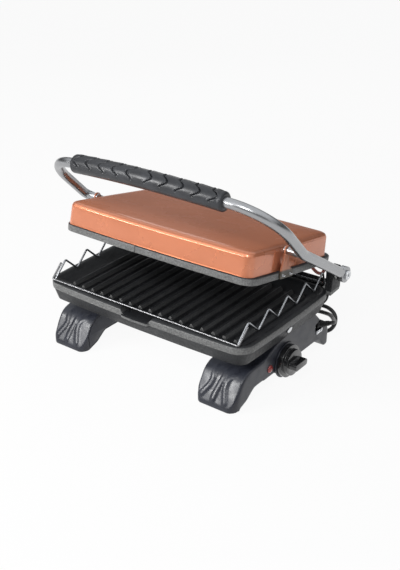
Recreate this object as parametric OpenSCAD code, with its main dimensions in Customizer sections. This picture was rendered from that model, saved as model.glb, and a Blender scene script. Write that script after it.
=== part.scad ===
// Electric contact grill with a hinged, self-levelling lid.
// X runs across the front, Y from front to back, Z up; the floor is Z = 0.
// The origin is under the middle of the grill's box. The lid is half open, as it stands in use.

/* [Grill pan] */
// Width of the pan over its rim, at the corners
pan_w = 400; // [360:1:440]
// Depth of the pan over its rim, at the corners
pan_d = 246; // [220:1:280]
// Corner radius of the rim in plan
pan_corner_r = 24; // [18:1:36]
// Outward bow of the front and back rims
pan_bow_front = 7; // [3:0.5:10]
// Outward bow of the two side rims
pan_bow_side = 3; // [1:0.5:6]
// Height of the rim's crown above the floor
rim_top_z = 113.6; // [106:0.2:124]
// Drop from the rim's crown to the top of its outer band
rim_crown_drop = 4; // [2:0.5:6]
// Height of the light outer band of the rim
rim_band_h = 9; // [6:0.5:12]
// Drop from the rim's crown to the lower edge of the skirt
skirt_drop = 34.6; // [28:0.2:40]
// How far the skirt's lower edge is drawn in
skirt_inset = 8; // [5:0.5:12]
// Thickness of the cast skirt and floor
cast_wall = 4; // [3.5:0.25:5]
// Drop from the rim's crown to the cooking floor
floor_drop = 15; // [13:0.5:18]
// Width of the sloping wall between rim and cooking floor
bowl_slope_w = 20; // [14:1:26]
// Height of a cooking rib
rib_h = 7.5; // [5:0.5:9]
// Width of a cooking rib at its foot
rib_w = 11; // [8:0.5:14]
// Distance from one cooking rib to the next
rib_pitch = 20.5; // [18:0.5:26]
// Width of the grease spout in the front rim
spout_w = 62; // [40:1:80]
// Depth of the grease spout's notch below the crown
spout_drop = 9; // [6:0.5:11]
// How far the spout's lip stands out in front
spout_reach = 6; // [3:0.5:10]

/* [Legs] */
// Width of one leg
leg_w = 73; // [60:1:84]
// Distance of a leg's outer side from the middle of the grill
leg_out_x = 189; // [175:1:192]
// Wall of the moulded legs
leg_wall = 3; // [2.5:0.25:4]
// Thickness of the flat cover on a leg's inner side
leg_cover_t = 2.5; // [2:0.25:4]
// How far the tread ridges stand out of a foot
tread_h = 2; // [1:0.25:3]
// Height of a tread ridge, measured up the foot
tread_ridge_w = 6; // [4:0.5:9]
// Thickness of a rubber foot
foot_pad_h = 2.5; // [2:0.25:4]
// How far a rubber foot stands below its leg
foot_proud = 1; // [0.5:0.25:2]

/* [Bail handle] */
// Diameter of the bail's tube
tube_d = 16; // [14:0.5:19]
// Wall of the bail's tube
tube_wall = 1.5; // [1:0.25:2.5]
// Distance of each arm from the middle of the grill
arm_x = 215.7; // [210:0.1:222]
// Bend radius at the two upper corners of the bail
bail_corner_r = 72; // [60:1:74]
// Radius of the crossbar's gentle bow
crossbar_bow_r = 1200; // [1000:50:3000]
// Diameter of the grip
grip_d = 31; // [26:0.5:36]
// Length of the grip
grip_l = 286; // [240:2:290]
// Diameter of the eye at each arm's lower end
eye_d = 26; // [22:0.5:30]
// Thickness of an eye
eye_t = 10; // [7:0.5:12]
// Diameter of the hinge pins
hinge_pin_d = 8; // [6:0.5:10]
// Diameter of the lid's pivot pins
pivot_pin_d = 8; // [6:0.5:10]

/* [Lid] */
// Width of the lid's cast plate
lid_w = 370; // [340:1:372]
// Depth of the lid's cast plate
lid_d = 240; // [220:1:244]
// Corner radius of the lid's plate
lid_corner_r = 20; // [14:1:30]
// Height of the cast plate's band
lid_band_h = 12; // [9:0.5:15]
// Height of the copper-coloured cover over the band
cover_h = 38; // [30:0.5:42]
// Wall of the drawn cover
cover_wall = 1.2; // [0.8:0.1:2]
// Step from the plate's edge to the cover at the sides
cover_step_side = 5; // [3:0.5:8]
// Step from the plate's edge to the cover at the back
cover_step_back = 10.5; // [8:0.5:18]
// Forward pitch of the half open lid, in degrees
lid_pitch = 11.4; // [6:0.2:14]

/* [Skewer rack] */
// Diameter of the rack's wire
wire_d = 3.4; // [3:0.1:4]
// Distance of each zigzag from the middle of the grill
rack_x = 184.3; // [178:0.1:186]
// Length of one zigzag tooth
tooth_pitch = 52.3; // [46:0.1:54]
// Height of one zigzag tooth
tooth_h = 25; // [18:0.5:28]

/* [Controls] */
// Diameter of the knob's base disc
knob_d = 54; // [44:1:58]
// Reach of the knob from the leg's side
knob_reach = 30.5; // [26:0.5:35]
// Diameter of the indicator lens
lens_d = 13; // [9:0.5:15]
// Diameter of the heating rods
heater_d = 7; // [6:0.25:8.5]

/* [Mains lead] */
// Diameter of the mains lead
cord_d = 7; // [6:0.25:8]
// Diameter of the coil at the middle of its turns
coil_d = 78; // [70:1:84]

/* [Hidden] */
// Quality of round bodies
$fn = 48;
// Points on each corner arc and each side of a bowed outline
arc_n = 7;
side_n = 8;
// Small overlap that makes two shapes of one solid cut or join cleanly
eps = 0.05;
// Gap at faces that sit together, and running clearance of a pin in its bore
seat = 0.1;
run = 0.05;
// Clearance kept between bodies that move past one another
move_gap = 0.3;

// Heights and places of the pan
pan_y = -8;
band_top_z = rim_top_z - rim_crown_drop;
band_bottom_z = band_top_z - rim_band_h;
skirt_z = rim_top_z - skirt_drop;
floor_z = rim_top_z - floor_drop;
floor_under_z = floor_z - cast_wall;
rim_flat = 9;
pan_front_y = pan_y - pan_d / 2;
pan_back_y = pan_y + pan_d / 2;
cooking_inset = rim_flat + bowl_slope_w;
cooking_w = pan_w - 2 * cooking_inset;
cooking_d = pan_d - 2 * cooking_inset;
rib_count = 2 * floor(cooking_w / 2 / rib_pitch) + 1;

// Rivets in the skirt's sides
rivet_shank_d = 5;
rivet_z = skirt_z + 14.5;
rivet_head_d = 12;

// Sheet cover under the pan
base_cover_t = 1;
base_cover_z = skirt_z + 1;
base_cover_inset = skirt_inset + cast_wall + 1;
boss_d = 12;
boss_x = leg_out_x - 34;
boss_y = [20, 74];
cover_boss_x = 60;
cover_boss_y = 46;
screw_d = 4;
screw_head_d = 8;
screw_head_h = 2.5;

// Legs, as seen from the side: corner points [y, z] with their radii
leg_in_x = leg_out_x - leg_w;
leg_mid_x = (leg_in_x + leg_out_x) / 2;
leg_color = [0.16, 0.17, 0.19];
leg_top_z = base_cover_z - seat;
leg_low_z = foot_proud;
leg_front_y = -142;
leg_back_y = 138;
leg_corner_r = 17;
leg_back_r = 10;
arch_z = 22;
foot_l = 17;
leg_pts = [[leg_front_y, leg_low_z], [leg_front_y + 1, 9], [-114, 51], [-98, 57], [-58, 58],
    [-4, leg_top_z],
    [83, leg_top_z], [103, 59], [125, 45], [leg_back_y - 1, 22], [leg_back_y, leg_low_z],
    [leg_back_y - foot_l, leg_low_z], [106, arch_z - 4], [92, arch_z], [-84, arch_z], [-104, 8],
    [leg_front_y + foot_l, leg_low_z]];
wire_hole_y = pan_y + pan_d / 2 - 70;
wire_hole_d = 14;
// Tread strokes: place across the foot as a share of its width, and height
tread_lines = [[[0.24, 55], [0.28, 48], [0.31, 40], [0.27, 31], [0.13, 15]],
    [[0.53, 55], [0.54, 47], [0.5, 36], [0.46, 24], [0.44, 13]],
    [[0.82, 54], [0.69, 48.5], [0.64, 41], [0.645, 33], [0.7, 23], [0.76, 13]]];
housing_in_x = leg_in_x + 0.18 * leg_w;
leg_rs = [1.5, 8, 30, 28, 40, 30, 12, 10, 14, 10, 1.5, 2, 10, 10, 12, 16, 4];
foot_pad_l = 11;
foot_pad_w = 42;
foot_pad_ys = [leg_front_y + foot_l / 2, leg_back_y - foot_l / 2];

// Thermostat housing, a round swelling in the right leg
knob_y = -1;
knob_z = 33;
housing_r = 28;
stat_body = [40, 34, 28];
stat_x1 = leg_out_x - leg_wall - seat;
stat_neck_d = 10;
stat_shaft_d = 6;
knob_x0 = leg_out_x + 2.5;
knob_tier_d = 0.8 * knob_d;
knob_tier_h = 7.5;
knob_bar = [11, knob_tier_d - 10];
knob_end_x = leg_out_x + knob_reach;
lens_y = -44;
lens_z = 36;
lens_proud = 4;

// Looped heating rods
rod_w = pan_w - 120;
rod_d = pan_d - 106;
lower_rod_z = floor_under_z - heater_d / 2 - seat;

// Bail: hinge axis, bend and upper corner of each arm, as [y, z]
hinge_yz = [120, 141.4];
bend_yz = [-8, 222.5];
corner_yz = [-92.5, 309];
arm_dir = [bend_yz.x - hinge_yz.x, bend_yz.y - hinge_yz.y] / norm(bend_yz - hinge_yz);
upper_dir = (corner_yz - bend_yz) / norm(corner_yz - bend_yz);
bend_r = 80;
ear_in_x = 196;
ear_out_x = 205;
ear_ahead = 11;
ear_behind = 18;
lip_t = 3.8;
lip_h = 8.4;
ear_r = 12.5;
eye_in_x = arm_x - eye_t / 2;
eye_out_x = arm_x + eye_t / 2;
pin_head_d = 15;
pin_head_h = 4;
tube_start = eye_d / 2 + 1;
spigot_d = tube_d - 2 * tube_wall - 1.6;
spigot_l = 26;

// Lid: its own frame has Y = 0 at the plate's front edge and Z = 0 at its lower edge
lid_front = [-98, 195.5];
cover_w = lid_w - 2 * cover_step_side;
cover_front = 1.5;
cover_d = lid_d - cover_front - cover_step_back;
lid_bow = [2, 5];
lid_recess = 6;
lid_floor_t = 4;
lid_rim = 12;
lid_top_inset = 10;
upper_rib_h = 5.5;
lid_rib_n = 2 * floor((lid_w / 2 - lid_rim - rib_w) / rib_pitch) + 1;
front_tab_x = [-83, -27];
upper_rod_z = lid_recess + lid_floor_t + heater_d / 2 + seat;
post_z = lid_recess + lid_floor_t + seat;
tray_w = lid_w - 44;
tray_d = lid_d - 86;
tray_bow = [0.6, 0.6];
tray_hole = [28, 46];
upper_rod = [tray_w - 46, tray_d - 14];
post_d = 8;
post_xs = [-6.5 * rib_pitch, 6.5 * rib_pitch];
post_ys = [lid_d / 2 - tray_d / 2 - 15, lid_d / 2 + tray_d / 2 + 9];
tray_h = 9;
// The pivot axis as the lid sees it
pivot_rel = bend_yz - lid_front;
pivot_lid = [pivot_rel.x * cos(lid_pitch) - pivot_rel.y * sin(lid_pitch),
    pivot_rel.x * sin(lid_pitch) + pivot_rel.y * cos(lid_pitch)];
bracket_t = 2.5;
bracket_in_x = lid_w / 2 + seat + lid_bow.x;
bracket_out_x = bracket_in_x + bracket_t;
bracket_foot_ys = [pivot_lid.x - 11, pivot_lid.x + 25];
bracket_screw_ys = bracket_foot_ys + [8, -8];
bracket_screw_z = 6;
bracket_screw_l = lid_rim - 2;
bush_d = 12;

// Rack: the zigzags start at the front wire and end at the back wire
rack_z = rim_top_z + move_gap + wire_d / 2;
rack_front_y = pan_front_y + 6;
rack_back_y = pan_back_y + 2;
rack_teeth = 5;

// Lead between lid and base; it enters the base's guide along the hinge axis
lead_d = 5.5;
lead_x = 112;
grommet_d = 9;
grommet_out = 4.6;
grommet_in = 12;
elbow_x = 187;
elbow_w = 4.8;
elbow_d = 11;
elbow_low_z = band_top_z - 7.6;
lead_out = [lead_x, lid_front.x + (lid_d + lid_bow.y) * cos(lid_pitch) + bracket_screw_z * sin(lid_pitch),
    lid_front.y - (lid_d + lid_bow.y) * sin(lid_pitch) + bracket_screw_z * cos(lid_pitch)];
lead_in = [elbow_x, hinge_yz.x, hinge_yz.y];
lead_route = [lead_out + [0, -2, 0.5], lead_out + [0, 3, -0.7], lead_out + [4, 6, -5],
    lead_out + [14, 5, -15], lead_in + [-45, 24, -14.5], lead_in + [-29, 17, -19.5],
    lead_in + [-16, 10, -15.5], lead_in + [-8, 3, -5.5], lead_in + [-3, 0, 0], lead_in + [2, 0, 0]];
lead_low = [elbow_x + elbow_w / 2, hinge_yz.x, elbow_low_z - move_gap];
lead_tail_in = [leg_out_x - 21, leg_back_y - 32, 54];
lead_tail_route = [lead_low, lead_low + [-0.5, 1, -8], lead_low + [-4, 2, -17], lead_tail_in + [10, 13, 21],
    lead_tail_in + [3, 6, 12], lead_tail_in];

// Gland and mains lead: route points chosen by hand
gland_base = [184, 98, 49];
relief_tip = [195, 122, 45];
relief_base_d = 12.5;
relief_axis = relief_tip - gland_base;
relief_l = norm(relief_axis);
clamp_y = [92, 110];
clamp_z = 38;
cord_route = [[195, 122, 45], [196, 134, 41], [192, 147, 35], [185, 160, 28.5], [175, 175, 22],
    [164, 190, 16.5], [152, 204, 11], [138, 213, 6.5], [122, 216, 4], [106, 211, 3.5], [92, 200, 3.5],
    [83, 184, 3.5], [83, 166, 3.5], [93, 151, 3.5], [110, 144.5, 3.5], [130, 143.5, 3.5], [149, 146, 3.5],
    [164, 154, 3.5], [172, 168, 3.5], [171, 184, 3.5], [165, 201, 3.5], [155, 218, 3.5], [142, 231, 3.5],
    [126, 239, 3.5], [108, 238.5, 3.5], [90, 235, 3.5], [70, 233, 3.5], [45, 232.5, 3.5], [18, 232.5, 3.5]];
coil_c = [18, 190];
coil_out_r = coil_d / 2 + cord_d;
tail_route = [[-24.5, 190, 10.5], [-24.5, 174, 10.5], [-24.5, 160, 11.5], [-24.5, 148, 13]];
plug_at = tail_route[len(tail_route) - 1];
plug_d = 26;
plug_l = 38;
plug_tail_l = 10;
plug_pin_d = 4.8;
plug_pin_l = 19;
plug_pin_gap = 19;

// ---- Helpers ----

function unit(v) = v / norm(v);

// Points of the arc of radius r that rounds the corner b between a and c
function arc_at(a, b, c, r, n) = let (
    u = unit(a - b),
    v = unit(c - b),
    half = acos(u * v) / 2,
    mid = b + unit(u + v) * r / sin(half),
    s = b + u * r / tan(half) - mid,
    e = b + v * r / tan(half) - mid,
    w = 180 - 2 * half
) [for (k = [0:n]) mid + (sin((1 - k / n) * w) * s + sin(k / n * w) * e) / sin(w)];

// A closed outline with one radius for each of its corners
function round_loop(p, rs, n = 5) = let (m = len(p))
    [for (i = [0:m - 1]) each arc_at(p[(i + m - 1) % m], p[i], p[(i + 1) % m], rs[i], n)];

// An open path with its inner corners rounded
function round_path(p, r, n = 6) = let (m = len(p))
    concat([p[0]], [for (i = [1:m - 2]) each arc_at(p[i - 1], p[i], p[i + 1], r, n)], [p[m - 1]]);

// A curve through every point of a path, with m steps from one to the next
function curve(p, m) = let (l = len(p) - 1) concat([for (i = [0:l - 1]) let (
    a = p[max(i - 1, 0)], b = p[i], c = p[i + 1], d = p[min(i + 2, l)]
) each [for (k = [0:m - 1]) let (t = k / m)
    0.5 * (2 * b + (c - a) * t + (2 * a - 5 * b + 4 * c - d) * t * t + (3 * b - a - 3 * c + d) * t * t * t)]],
    [p[l]]);

// A solid skinned over rings of points, which all have the same count
module loft(rings) {
    n = len(rings[0]);
    m = len(rings);
    polyhedron(
        points = [for (r = rings) each r],
        faces = concat(
            [[for (k = [0:n - 1]) k]],
            [for (i = [0:m - 2], k = [0:n - 1]) each let (a = i * n + k, b = i * n + (k + 1) % n)
                [[a, a + n, b], [b, a + n, b + n]]],
            [[for (k = [n - 1:-1:0]) (m - 1) * n + k]]));
}

// A round rod or tube solid along a path; the section is carried along without twist
module sweep(path, d, sides = 12, start = [0, 0, 1]) {
    last = len(path) - 1;
    t = [for (i = [0:last]) unit(path[min(i + 1, last)] - path[max(i - 1, 0)])];
    up = [for (i = 0, n = unit(start - (start * t[0]) * t[0]); i <= last;
        i = i + 1, n = i > last ? n : unit(n - (n * t[i]) * t[i])) n];
    loft([for (i = [0:last]) [for (k = [0:sides - 1]) let (a = 360 * k / sides)
        path[i] + d / 2 * (cos(a) * up[i] + sin(a) * cross(t[i], up[i]))]]);
}

// A bent wire through a list of corner points
module wire(p, d, r = 4) sweep(round_path(p, r, 3), d, 10, [1, 0.1, 0.2]);

// Runs along X from x
module along_x(x, y, z) translate([x, y, z]) rotate([0, 90, 0]) children();

// A screw with a domed head, pointing down, its head's seat at the origin
module screw(d, l) {
    translate([0, 0, -l]) cylinder(h = l, d = d, $fn = 24);
    intersection() {
        cylinder(h = screw_head_h, d = screw_head_d, $fn = 32);
        translate([0, 0, screw_head_h - screw_head_d]) sphere(r = screw_head_d, $fn = 48);
    }
}

// Points of a rounded rectangle with sides for bowing, centred at the origin
function plain_outline(w, d, r) = let (x = w / 2 - r, y = d / 2 - r, c = [[x, -y], [x, y], [-x, y],
    [-x, -y]])
    [for (s = [0:3]) each let (
        a0 = 90 * (s - 1),
        e = c[s] + r * [cos(a0 + 90), sin(a0 + 90)],
        f = c[(s + 1) % 4] + r * [cos(a0 + 90), sin(a0 + 90)]
    ) concat([for (k = [0:arc_n]) c[s] + r * [cos(a0 + 90 * k / arc_n), sin(a0 + 90 * k / arc_n)]],
        [for (k = [1:side_n - 1]) e + (f - e) * k / side_n])];

// The same with its sides bowed outwards and moved to height z
function outline(w, d, r, inset, z, cy, bow = [0, 0]) =
    [for (p = plain_outline(w - 2 * inset, d - 2 * inset, max(r - inset, 4)))
        [p.x + sign(p.x) * bow.x * max(0, 1 - pow(2 * p.y / d, 2)) * pow(abs(2 * p.x / w), 6),
            cy + p.y + sign(p.y) * bow.y * max(0, 1 - pow(2 * p.x / w, 2)) * pow(abs(2 * p.y / d), 6), z]];

// ---- Grill pan ----

function pan_ring(inset, z) =
    outline(pan_w, pan_d, pan_corner_r, inset, z, pan_y, [pan_bow_side, pan_bow_front]);

// The cast outside, from the skirt's lower edge over the band to the crown
module pan_outer() loft([
    pan_ring(skirt_inset, skirt_z),
    pan_ring(1.6, band_bottom_z - 1.2),
    pan_ring(0.2, band_bottom_z),
    pan_ring(0, band_bottom_z + 1.5),
    pan_ring(0, band_top_z),
    pan_ring(0.7, band_top_z + 1.7),
    pan_ring(2.4, band_top_z + 3.2),
    pan_ring(5, rim_top_z),
    pan_ring(rim_flat - 2, rim_top_z)]);

// What the bowl takes out of it
module pan_bowl() loft([
    pan_ring(cooking_inset + 4, floor_z),
    pan_ring(cooking_inset, floor_z + 1),
    pan_ring(rim_flat + 3, rim_top_z - 3.5),
    pan_ring(rim_flat, rim_top_z - 1),
    pan_ring(rim_flat - 2.1, rim_top_z + eps)]);

// The hollow below the floor, inside the skirt
module pan_hollow() loft([
    pan_ring(skirt_inset + cast_wall, skirt_z - eps),
    pan_ring(skirt_inset + cast_wall, base_cover_z + base_cover_t),
    pan_ring(rim_flat + cast_wall, floor_under_z - 3),
    pan_ring(cooking_inset + 2, floor_under_z)]);

module rib() {
    x = rib_w / 2;
    translate([0, pan_y + cooking_d / 2, floor_z - 0.5])
        rotate([90, 0, 0])
            linear_extrude(cooking_d)
                polygon([[-x, 0], [-1.6, rib_h], [-0.8, rib_h + 0.5], [0.8, rib_h + 0.5], [1.6, rib_h],
                    [x, 0]]);
}

// Grease runs out over a lowered, beaked stretch of the front rim
module spout_notch() {
    y = pan_front_y - pan_bow_front - spout_reach;
    translate([0, y - 1, rim_top_z - spout_drop])
        rotate([-90, 0, 0])
            mirror([0, 1, 0])
                linear_extrude(spout_reach + pan_bow_front + rim_flat + 18)
                    polygon(round_loop([[-spout_w / 2 + 5, 0], [spout_w / 2 - 5, 0],
                        [spout_w / 2 + 3, spout_drop + 2],
                        [-spout_w / 2 - 3, spout_drop + 2]], [5, 5, 1, 1]));
}

module spout_lip() {
    y0 = pan_front_y - pan_bow_front;
    z = rim_top_z - spout_drop;
    w = spout_w / 2;
    translate([0, 0, z - 5])
        linear_extrude(5)
            polygon(round_loop([[-w, y0 + 8], [-w + 4, y0 - spout_reach + 2], [0, y0 - spout_reach],
                [w - 4, y0 - spout_reach + 2], [w, y0 + 8]], [1, 5, 40, 5, 1]));
}

// One of the two lugs at the back corners that carry the bail
module ear() {
    y = pan_back_y;
    hull() {
        along_x(ear_in_x, hinge_yz.x, hinge_yz.y)
            cylinder(h = ear_out_x - ear_in_x, r = ear_r);
        slab(ear_in_x - 4, ear_out_x - 1)
            polygon([[y - ear_ahead, band_bottom_z + 5], [y + ear_behind - 3, band_bottom_z + 7],
                [y + ear_behind, band_bottom_z + 11], [y + ear_behind, band_top_z + 8],
                [y - ear_ahead, rim_top_z - 0.6]]);
    }
}

// A low lip behind the rack's back wire, carried by a ledge on the rim
module rear_lip() {
    y0 = rack_back_y + 1.5 * wire_d + 1;
    y1 = y0 + lip_t;
    z1 = rim_top_z + lip_h;
    slab(-rack_x + 2, rack_x - 2)
        polygon([[y0 - 12, band_top_z - 5], [y1 - 1, band_top_z - 5], [y1, band_top_z - 4], [y1, z1 - 1.4],
            [y1 - 1.4, z1], [y0 + 1.2, z1], [y0, z1 - 1.2], [y0, band_top_z + 1.5],
                [y0 - 12, band_top_z + 1.5]]);
}

module grill_pan() color([0.23, 0.23, 0.24]) {
    difference() {
        union() {
            difference() {
                union() {
                    pan_outer();
                    spout_lip();
                }
                pan_bowl();
                pan_hollow();
            }
            for (k = [-(rib_count - 1) / 2:(rib_count - 1) / 2])
                translate([k * rib_pitch, 0, 0]) rib();
            ear();
            mirror([1, 0, 0]) ear();
            rear_lip();
            for (s = [-1, 1], y = boss_y)
                translate([s * boss_x, y, base_cover_z + base_cover_t + seat])
                    cylinder(h = floor_under_z - base_cover_z, d = boss_d);
            for (s = [-1, 1], y = [-cover_boss_y, cover_boss_y])
                translate([s * cover_boss_x, pan_y + y, base_cover_z + base_cover_t + seat])
                    cylinder(h = floor_under_z - base_cover_z, d = boss_d);
        }
        spout_notch();
        for (s = [0, 1]) mirror([s, 0, 0]) {
            along_x(ear_in_x - 10, hinge_yz.x, hinge_yz.y)
                cylinder(h = ear_out_x - ear_in_x + 20, d = hinge_pin_d + 2 * run);
            along_x(ear_in_x - 10, hinge_yz.x, hinge_yz.y) cylinder(h = 10, d = hinge_pin_d + 6);
            for (y = boss_y)
                translate([boss_x, y, skirt_z]) cylinder(h = 12, d = screw_d + 2 * run, $fn = 24);
            for (y = [-cover_boss_y, cover_boss_y])
                translate([cover_boss_x, pan_y + y, skirt_z])
                    cylinder(h = 12, d = screw_d + 2 * run, $fn = 24);
            rivet_place() cylinder(h = 4 * cast_wall, d = rivet_shank_d + 2 * run, center = true, $fn = 24);
        }
    }
}

// The round-headed rivets that hold the rods' clamp at each side
module rivet_place() {
    lean = atan2(skirt_inset - 1.6, band_bottom_z - 1.2 - skirt_z);
    x = pan_w / 2 + pan_bow_side - 1.6 - (band_bottom_z - 1.2 - rivet_z) * tan(lean);
    translate([x, pan_y - 2, rivet_z]) rotate([0, 90 + lean, 0]) children();
}

module side_rivets() color([0.75, 0.77, 0.8])
    for (s = [0, 1]) mirror([s, 0, 0])
        rivet_place() {
            translate([0, 0, -cast_wall - 3]) cylinder(h = cast_wall + 4, d = rivet_shank_d, $fn = 24);
            translate([0, 0, 0.4])
                intersection() {
                    cylinder(h = 3, d = rivet_head_d, $fn = 32);
                    translate([0, 0, 2.4 - rivet_head_d]) sphere(r = rivet_head_d, $fn = 48);
                }
        }

// ---- Heating rods ----

// A looped rod's path; its ends turn off side by side by end_dz
function rod_path(w, d, cy, z, end_dz) = round_path([
    [w / 2 - 20, cy - 8, z + end_dz], [w / 2 - 34, cy - 8, z], [-w / 2 + 50, cy - 8, z],
        [-w / 2 + 50, cy - d / 2, z],
    [w / 2, cy - d / 2, z], [w / 2, cy + d / 2, z],
    [-w / 2, cy + d / 2, z], [-w / 2, cy + 22, z], [w / 2 - 34, cy + 22, z],
        [w / 2 - 20, cy + 22, z + end_dz]], 6, 4);

module lower_heating_element() color([0.35, 0.33, 0.32])
    sweep(rod_path(rod_w, rod_d, pan_y, lower_rod_z, -6), heater_d, 10, [0, 0.2, 1]);

module upper_heating_element() color([0.35, 0.33, 0.32])
    in_lid() sweep(rod_path(upper_rod.x, upper_rod.y, lid_d / 2, upper_rod_z, 6), heater_d, 10, [0, 0.2, 1]);

// ---- Cover under the pan ----

module base_cover() color([0.62, 0.63, 0.65])
    difference() {
        loft([
            pan_ring(base_cover_inset, base_cover_z),
            pan_ring(base_cover_inset, base_cover_z + base_cover_t)]);
        for (s = [-1, 1], y = boss_y)
            translate([s * boss_x, y, skirt_z]) cylinder(h = 6, d = screw_d + 1, $fn = 24);
        for (s = [-1, 1], y = [-cover_boss_y, cover_boss_y])
            translate([s * cover_boss_x, pan_y + y, skirt_z]) cylinder(h = 6, d = screw_d + 1, $fn = 24);
        for (x = [leg_mid_x, -leg_mid_x])
            translate([x, wire_hole_y, skirt_z]) cylinder(h = 6, d = wire_hole_d, $fn = 32);
    }

module base_cover_screws() color([0.7, 0.71, 0.73])
    for (s = [-1, 1], y = [-cover_boss_y, cover_boss_y])
        translate([s * cover_boss_x, pan_y + y, base_cover_z - eps / 2]) mirror([0, 0, 1])
            screw(screw_d, 9);

// ---- Legs ----

module leg_profile() polygon(round_loop(leg_pts, leg_rs, 4));

// Turns a side view of Y and Z into a slab that runs along X from x0 to x1
module slab(x0, x1) translate([x0, 0, 0]) rotate([90, 0, 90]) linear_extrude(x1 - x0) children();

// The leg seen from above, grown or set in all round
module leg_plan(grow = 0) {
    x0 = leg_in_x - grow;
    x1 = leg_out_x + grow;
    y0 = leg_front_y - 1 - grow;
    y1 = leg_back_y + grow;
    front_r = leg_corner_r + grow;
    back_r = leg_back_r + grow;
    translate([0, 0, -1])
        linear_extrude(base_cover_z + 10)
            polygon(round_loop([[x0, y0], [x1, y0], [x1, y1], [x0, y1]],
                [front_r, front_r, back_r, back_r]));
}

// The room inside a leg, open on the leg's inner side, set in further by gap
module leg_room(gap = 0)
    intersection() {
        slab(leg_in_x - 1, leg_out_x - leg_wall - gap) offset(delta = -leg_wall - gap) leg_profile();
        union() {
            leg_plan(-leg_wall - gap);
            translate([leg_in_x - 1, leg_front_y + leg_corner_r + gap, 0])
                cube([leg_w / 2, leg_back_y - leg_front_y - leg_corner_r - leg_back_r - 2 * gap,
                    base_cover_z]);
        }
    }

// A thick line along points of X and Z
module stroke(p, w) {
    last = len(p) - 1;
    along = [for (i = [0:last]) let (d = p[min(i + 1, last)] - p[max(i - 1, 0)]) d / norm(d)];
    left = [for (i = [0:last]) p[i] + w / 2 * [-along[i].y, along[i].x]];
    right = [for (i = [0:last]) p[last - i] + w / 2 * [along[last - i].y, -along[last - i].x]];
    polygon(round_loop(concat(left, right), [for (i = [0:2 * last + 1]) w / 3], 3));
}

// Ridges like a tyre's tread, which climb over the front of each foot; they run the same way
// on both feet, so the left leg, a mirror image, has them turned round
module tread(turned)
    intersection() {
        slab(leg_in_x, leg_out_x) translate([-tread_h, 0]) leg_profile();
        leg_plan(tread_h);
        translate([0, -70, 0])
            rotate([90, 0, 0])
                linear_extrude(-leg_front_y - 70 + 8)
                    for (line = tread_lines)
                        stroke([for (q = line)
                            [turned ? leg_out_x - q.x * leg_w : leg_in_x + q.x * leg_w, q.y]], tread_ridge_w);
    }

module leg_shell(turned = false) {
    difference() {
        union() {
            intersection() {
                slab(leg_in_x, leg_out_x) leg_profile();
                leg_plan();
            }
            tread(turned);
        }
        leg_room();
        for (y = foot_pad_ys)
            translate([leg_mid_x - foot_pad_w / 2 - seat, y - foot_pad_l / 2 - seat, 0])
                cube([foot_pad_w + 2 * seat, foot_pad_l + 2 * seat, foot_pad_h + seat]);
        for (y = boss_y)
            translate([boss_x, y, leg_top_z - leg_wall - 1]) cylinder(h = 6, d = screw_d + 1, $fn = 24);
        translate([leg_mid_x, wire_hole_y, leg_top_z - leg_wall - 1])
            cylinder(h = 6, d = wire_hole_d, $fn = 32);
    }
}

module leg_cover()
    intersection() {
        leg_room(0.15);
        translate([leg_in_x + 0.5, leg_front_y, 0])
            cube([leg_cover_t, leg_back_y - leg_front_y, base_cover_z]);
    }

module left_leg() color(leg_color) mirror([1, 0, 0]) leg_shell(true);

module housing(r, x0, x1) along_x(x0, knob_y, knob_z + 2) cylinder(h = x1 - x0, r = r, $fn = 72);

module right_leg() color(leg_color) difference() {
    union() {
        leg_shell();
        difference() {
            housing(housing_r, housing_in_x, leg_out_x);
            slab(leg_in_x - 1, leg_out_x - leg_wall) offset(delta = -leg_wall) leg_profile();
        }
    }
    housing(housing_r - leg_wall, housing_in_x + leg_wall, leg_out_x - leg_wall);
    along_x(leg_out_x - 6, knob_y, knob_z) cylinder(h = 8, d = stat_neck_d + 0.4);
    along_x(leg_out_x - 6, lens_y, lens_z) cylinder(h = 8, d = lens_d - 3 + 0.2);
    gland_pocket();
    translate(lead_tail_in) rotate([-20, 14, 0]) cylinder(h = 16, d = lead_d + 1, center = true, $fn = 24);
}

module left_leg_cover() color(leg_color) mirror([1, 0, 0]) leg_cover();
module right_leg_cover() color(leg_color) leg_cover();

module leg_screws() color([0.7, 0.71, 0.73])
    for (s = [-1, 1], y = boss_y)
        translate([s * boss_x, y, leg_top_z - leg_wall - eps / 2]) mirror([0, 0, 1]) screw(screw_d, 12);

module rubber_feet() color([0.1, 0.1, 0.1])
    for (s = [-1, 1], y = foot_pad_ys)
        translate([s * leg_mid_x - foot_pad_w / 2, y - foot_pad_l / 2, 0])
            cube([foot_pad_w, foot_pad_l, foot_pad_h]);

// ---- Thermostat, lamp and knob ----

module thermostat_body() color([0.8, 0.78, 0.7]) difference() {
    union() {
        translate([stat_x1 - stat_body.x, knob_y - stat_body.y / 2, knob_z - stat_body.z / 2])
            cube(stat_body);
        along_x(stat_x1 - eps, knob_y, knob_z) cylinder(h = leg_wall + 2.4, d = stat_neck_d);
    }
    along_x(stat_x1 - 12, knob_y, knob_z) cylinder(h = 30, d = stat_shaft_d + 2 * run, $fn = 32);
}

module thermostat_nut() color([0.75, 0.76, 0.78])
    along_x(leg_out_x + 0.05, knob_y, knob_z) difference() {
        cylinder(h = 2.2, d = stat_neck_d + 5, $fn = 6);
        translate([0, 0, -1]) cylinder(h = 5, d = stat_neck_d + 2 * run);
    }

module dial_ring() color([0.2, 0.2, 0.22])
    along_x(leg_out_x + 0.02, knob_y, knob_z) difference() {
        cylinder(h = 2, d = knob_d + 5, $fn = 96);
        translate([0, 0, -1]) cylinder(h = 5, d = stat_neck_d + 8);
    }

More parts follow.
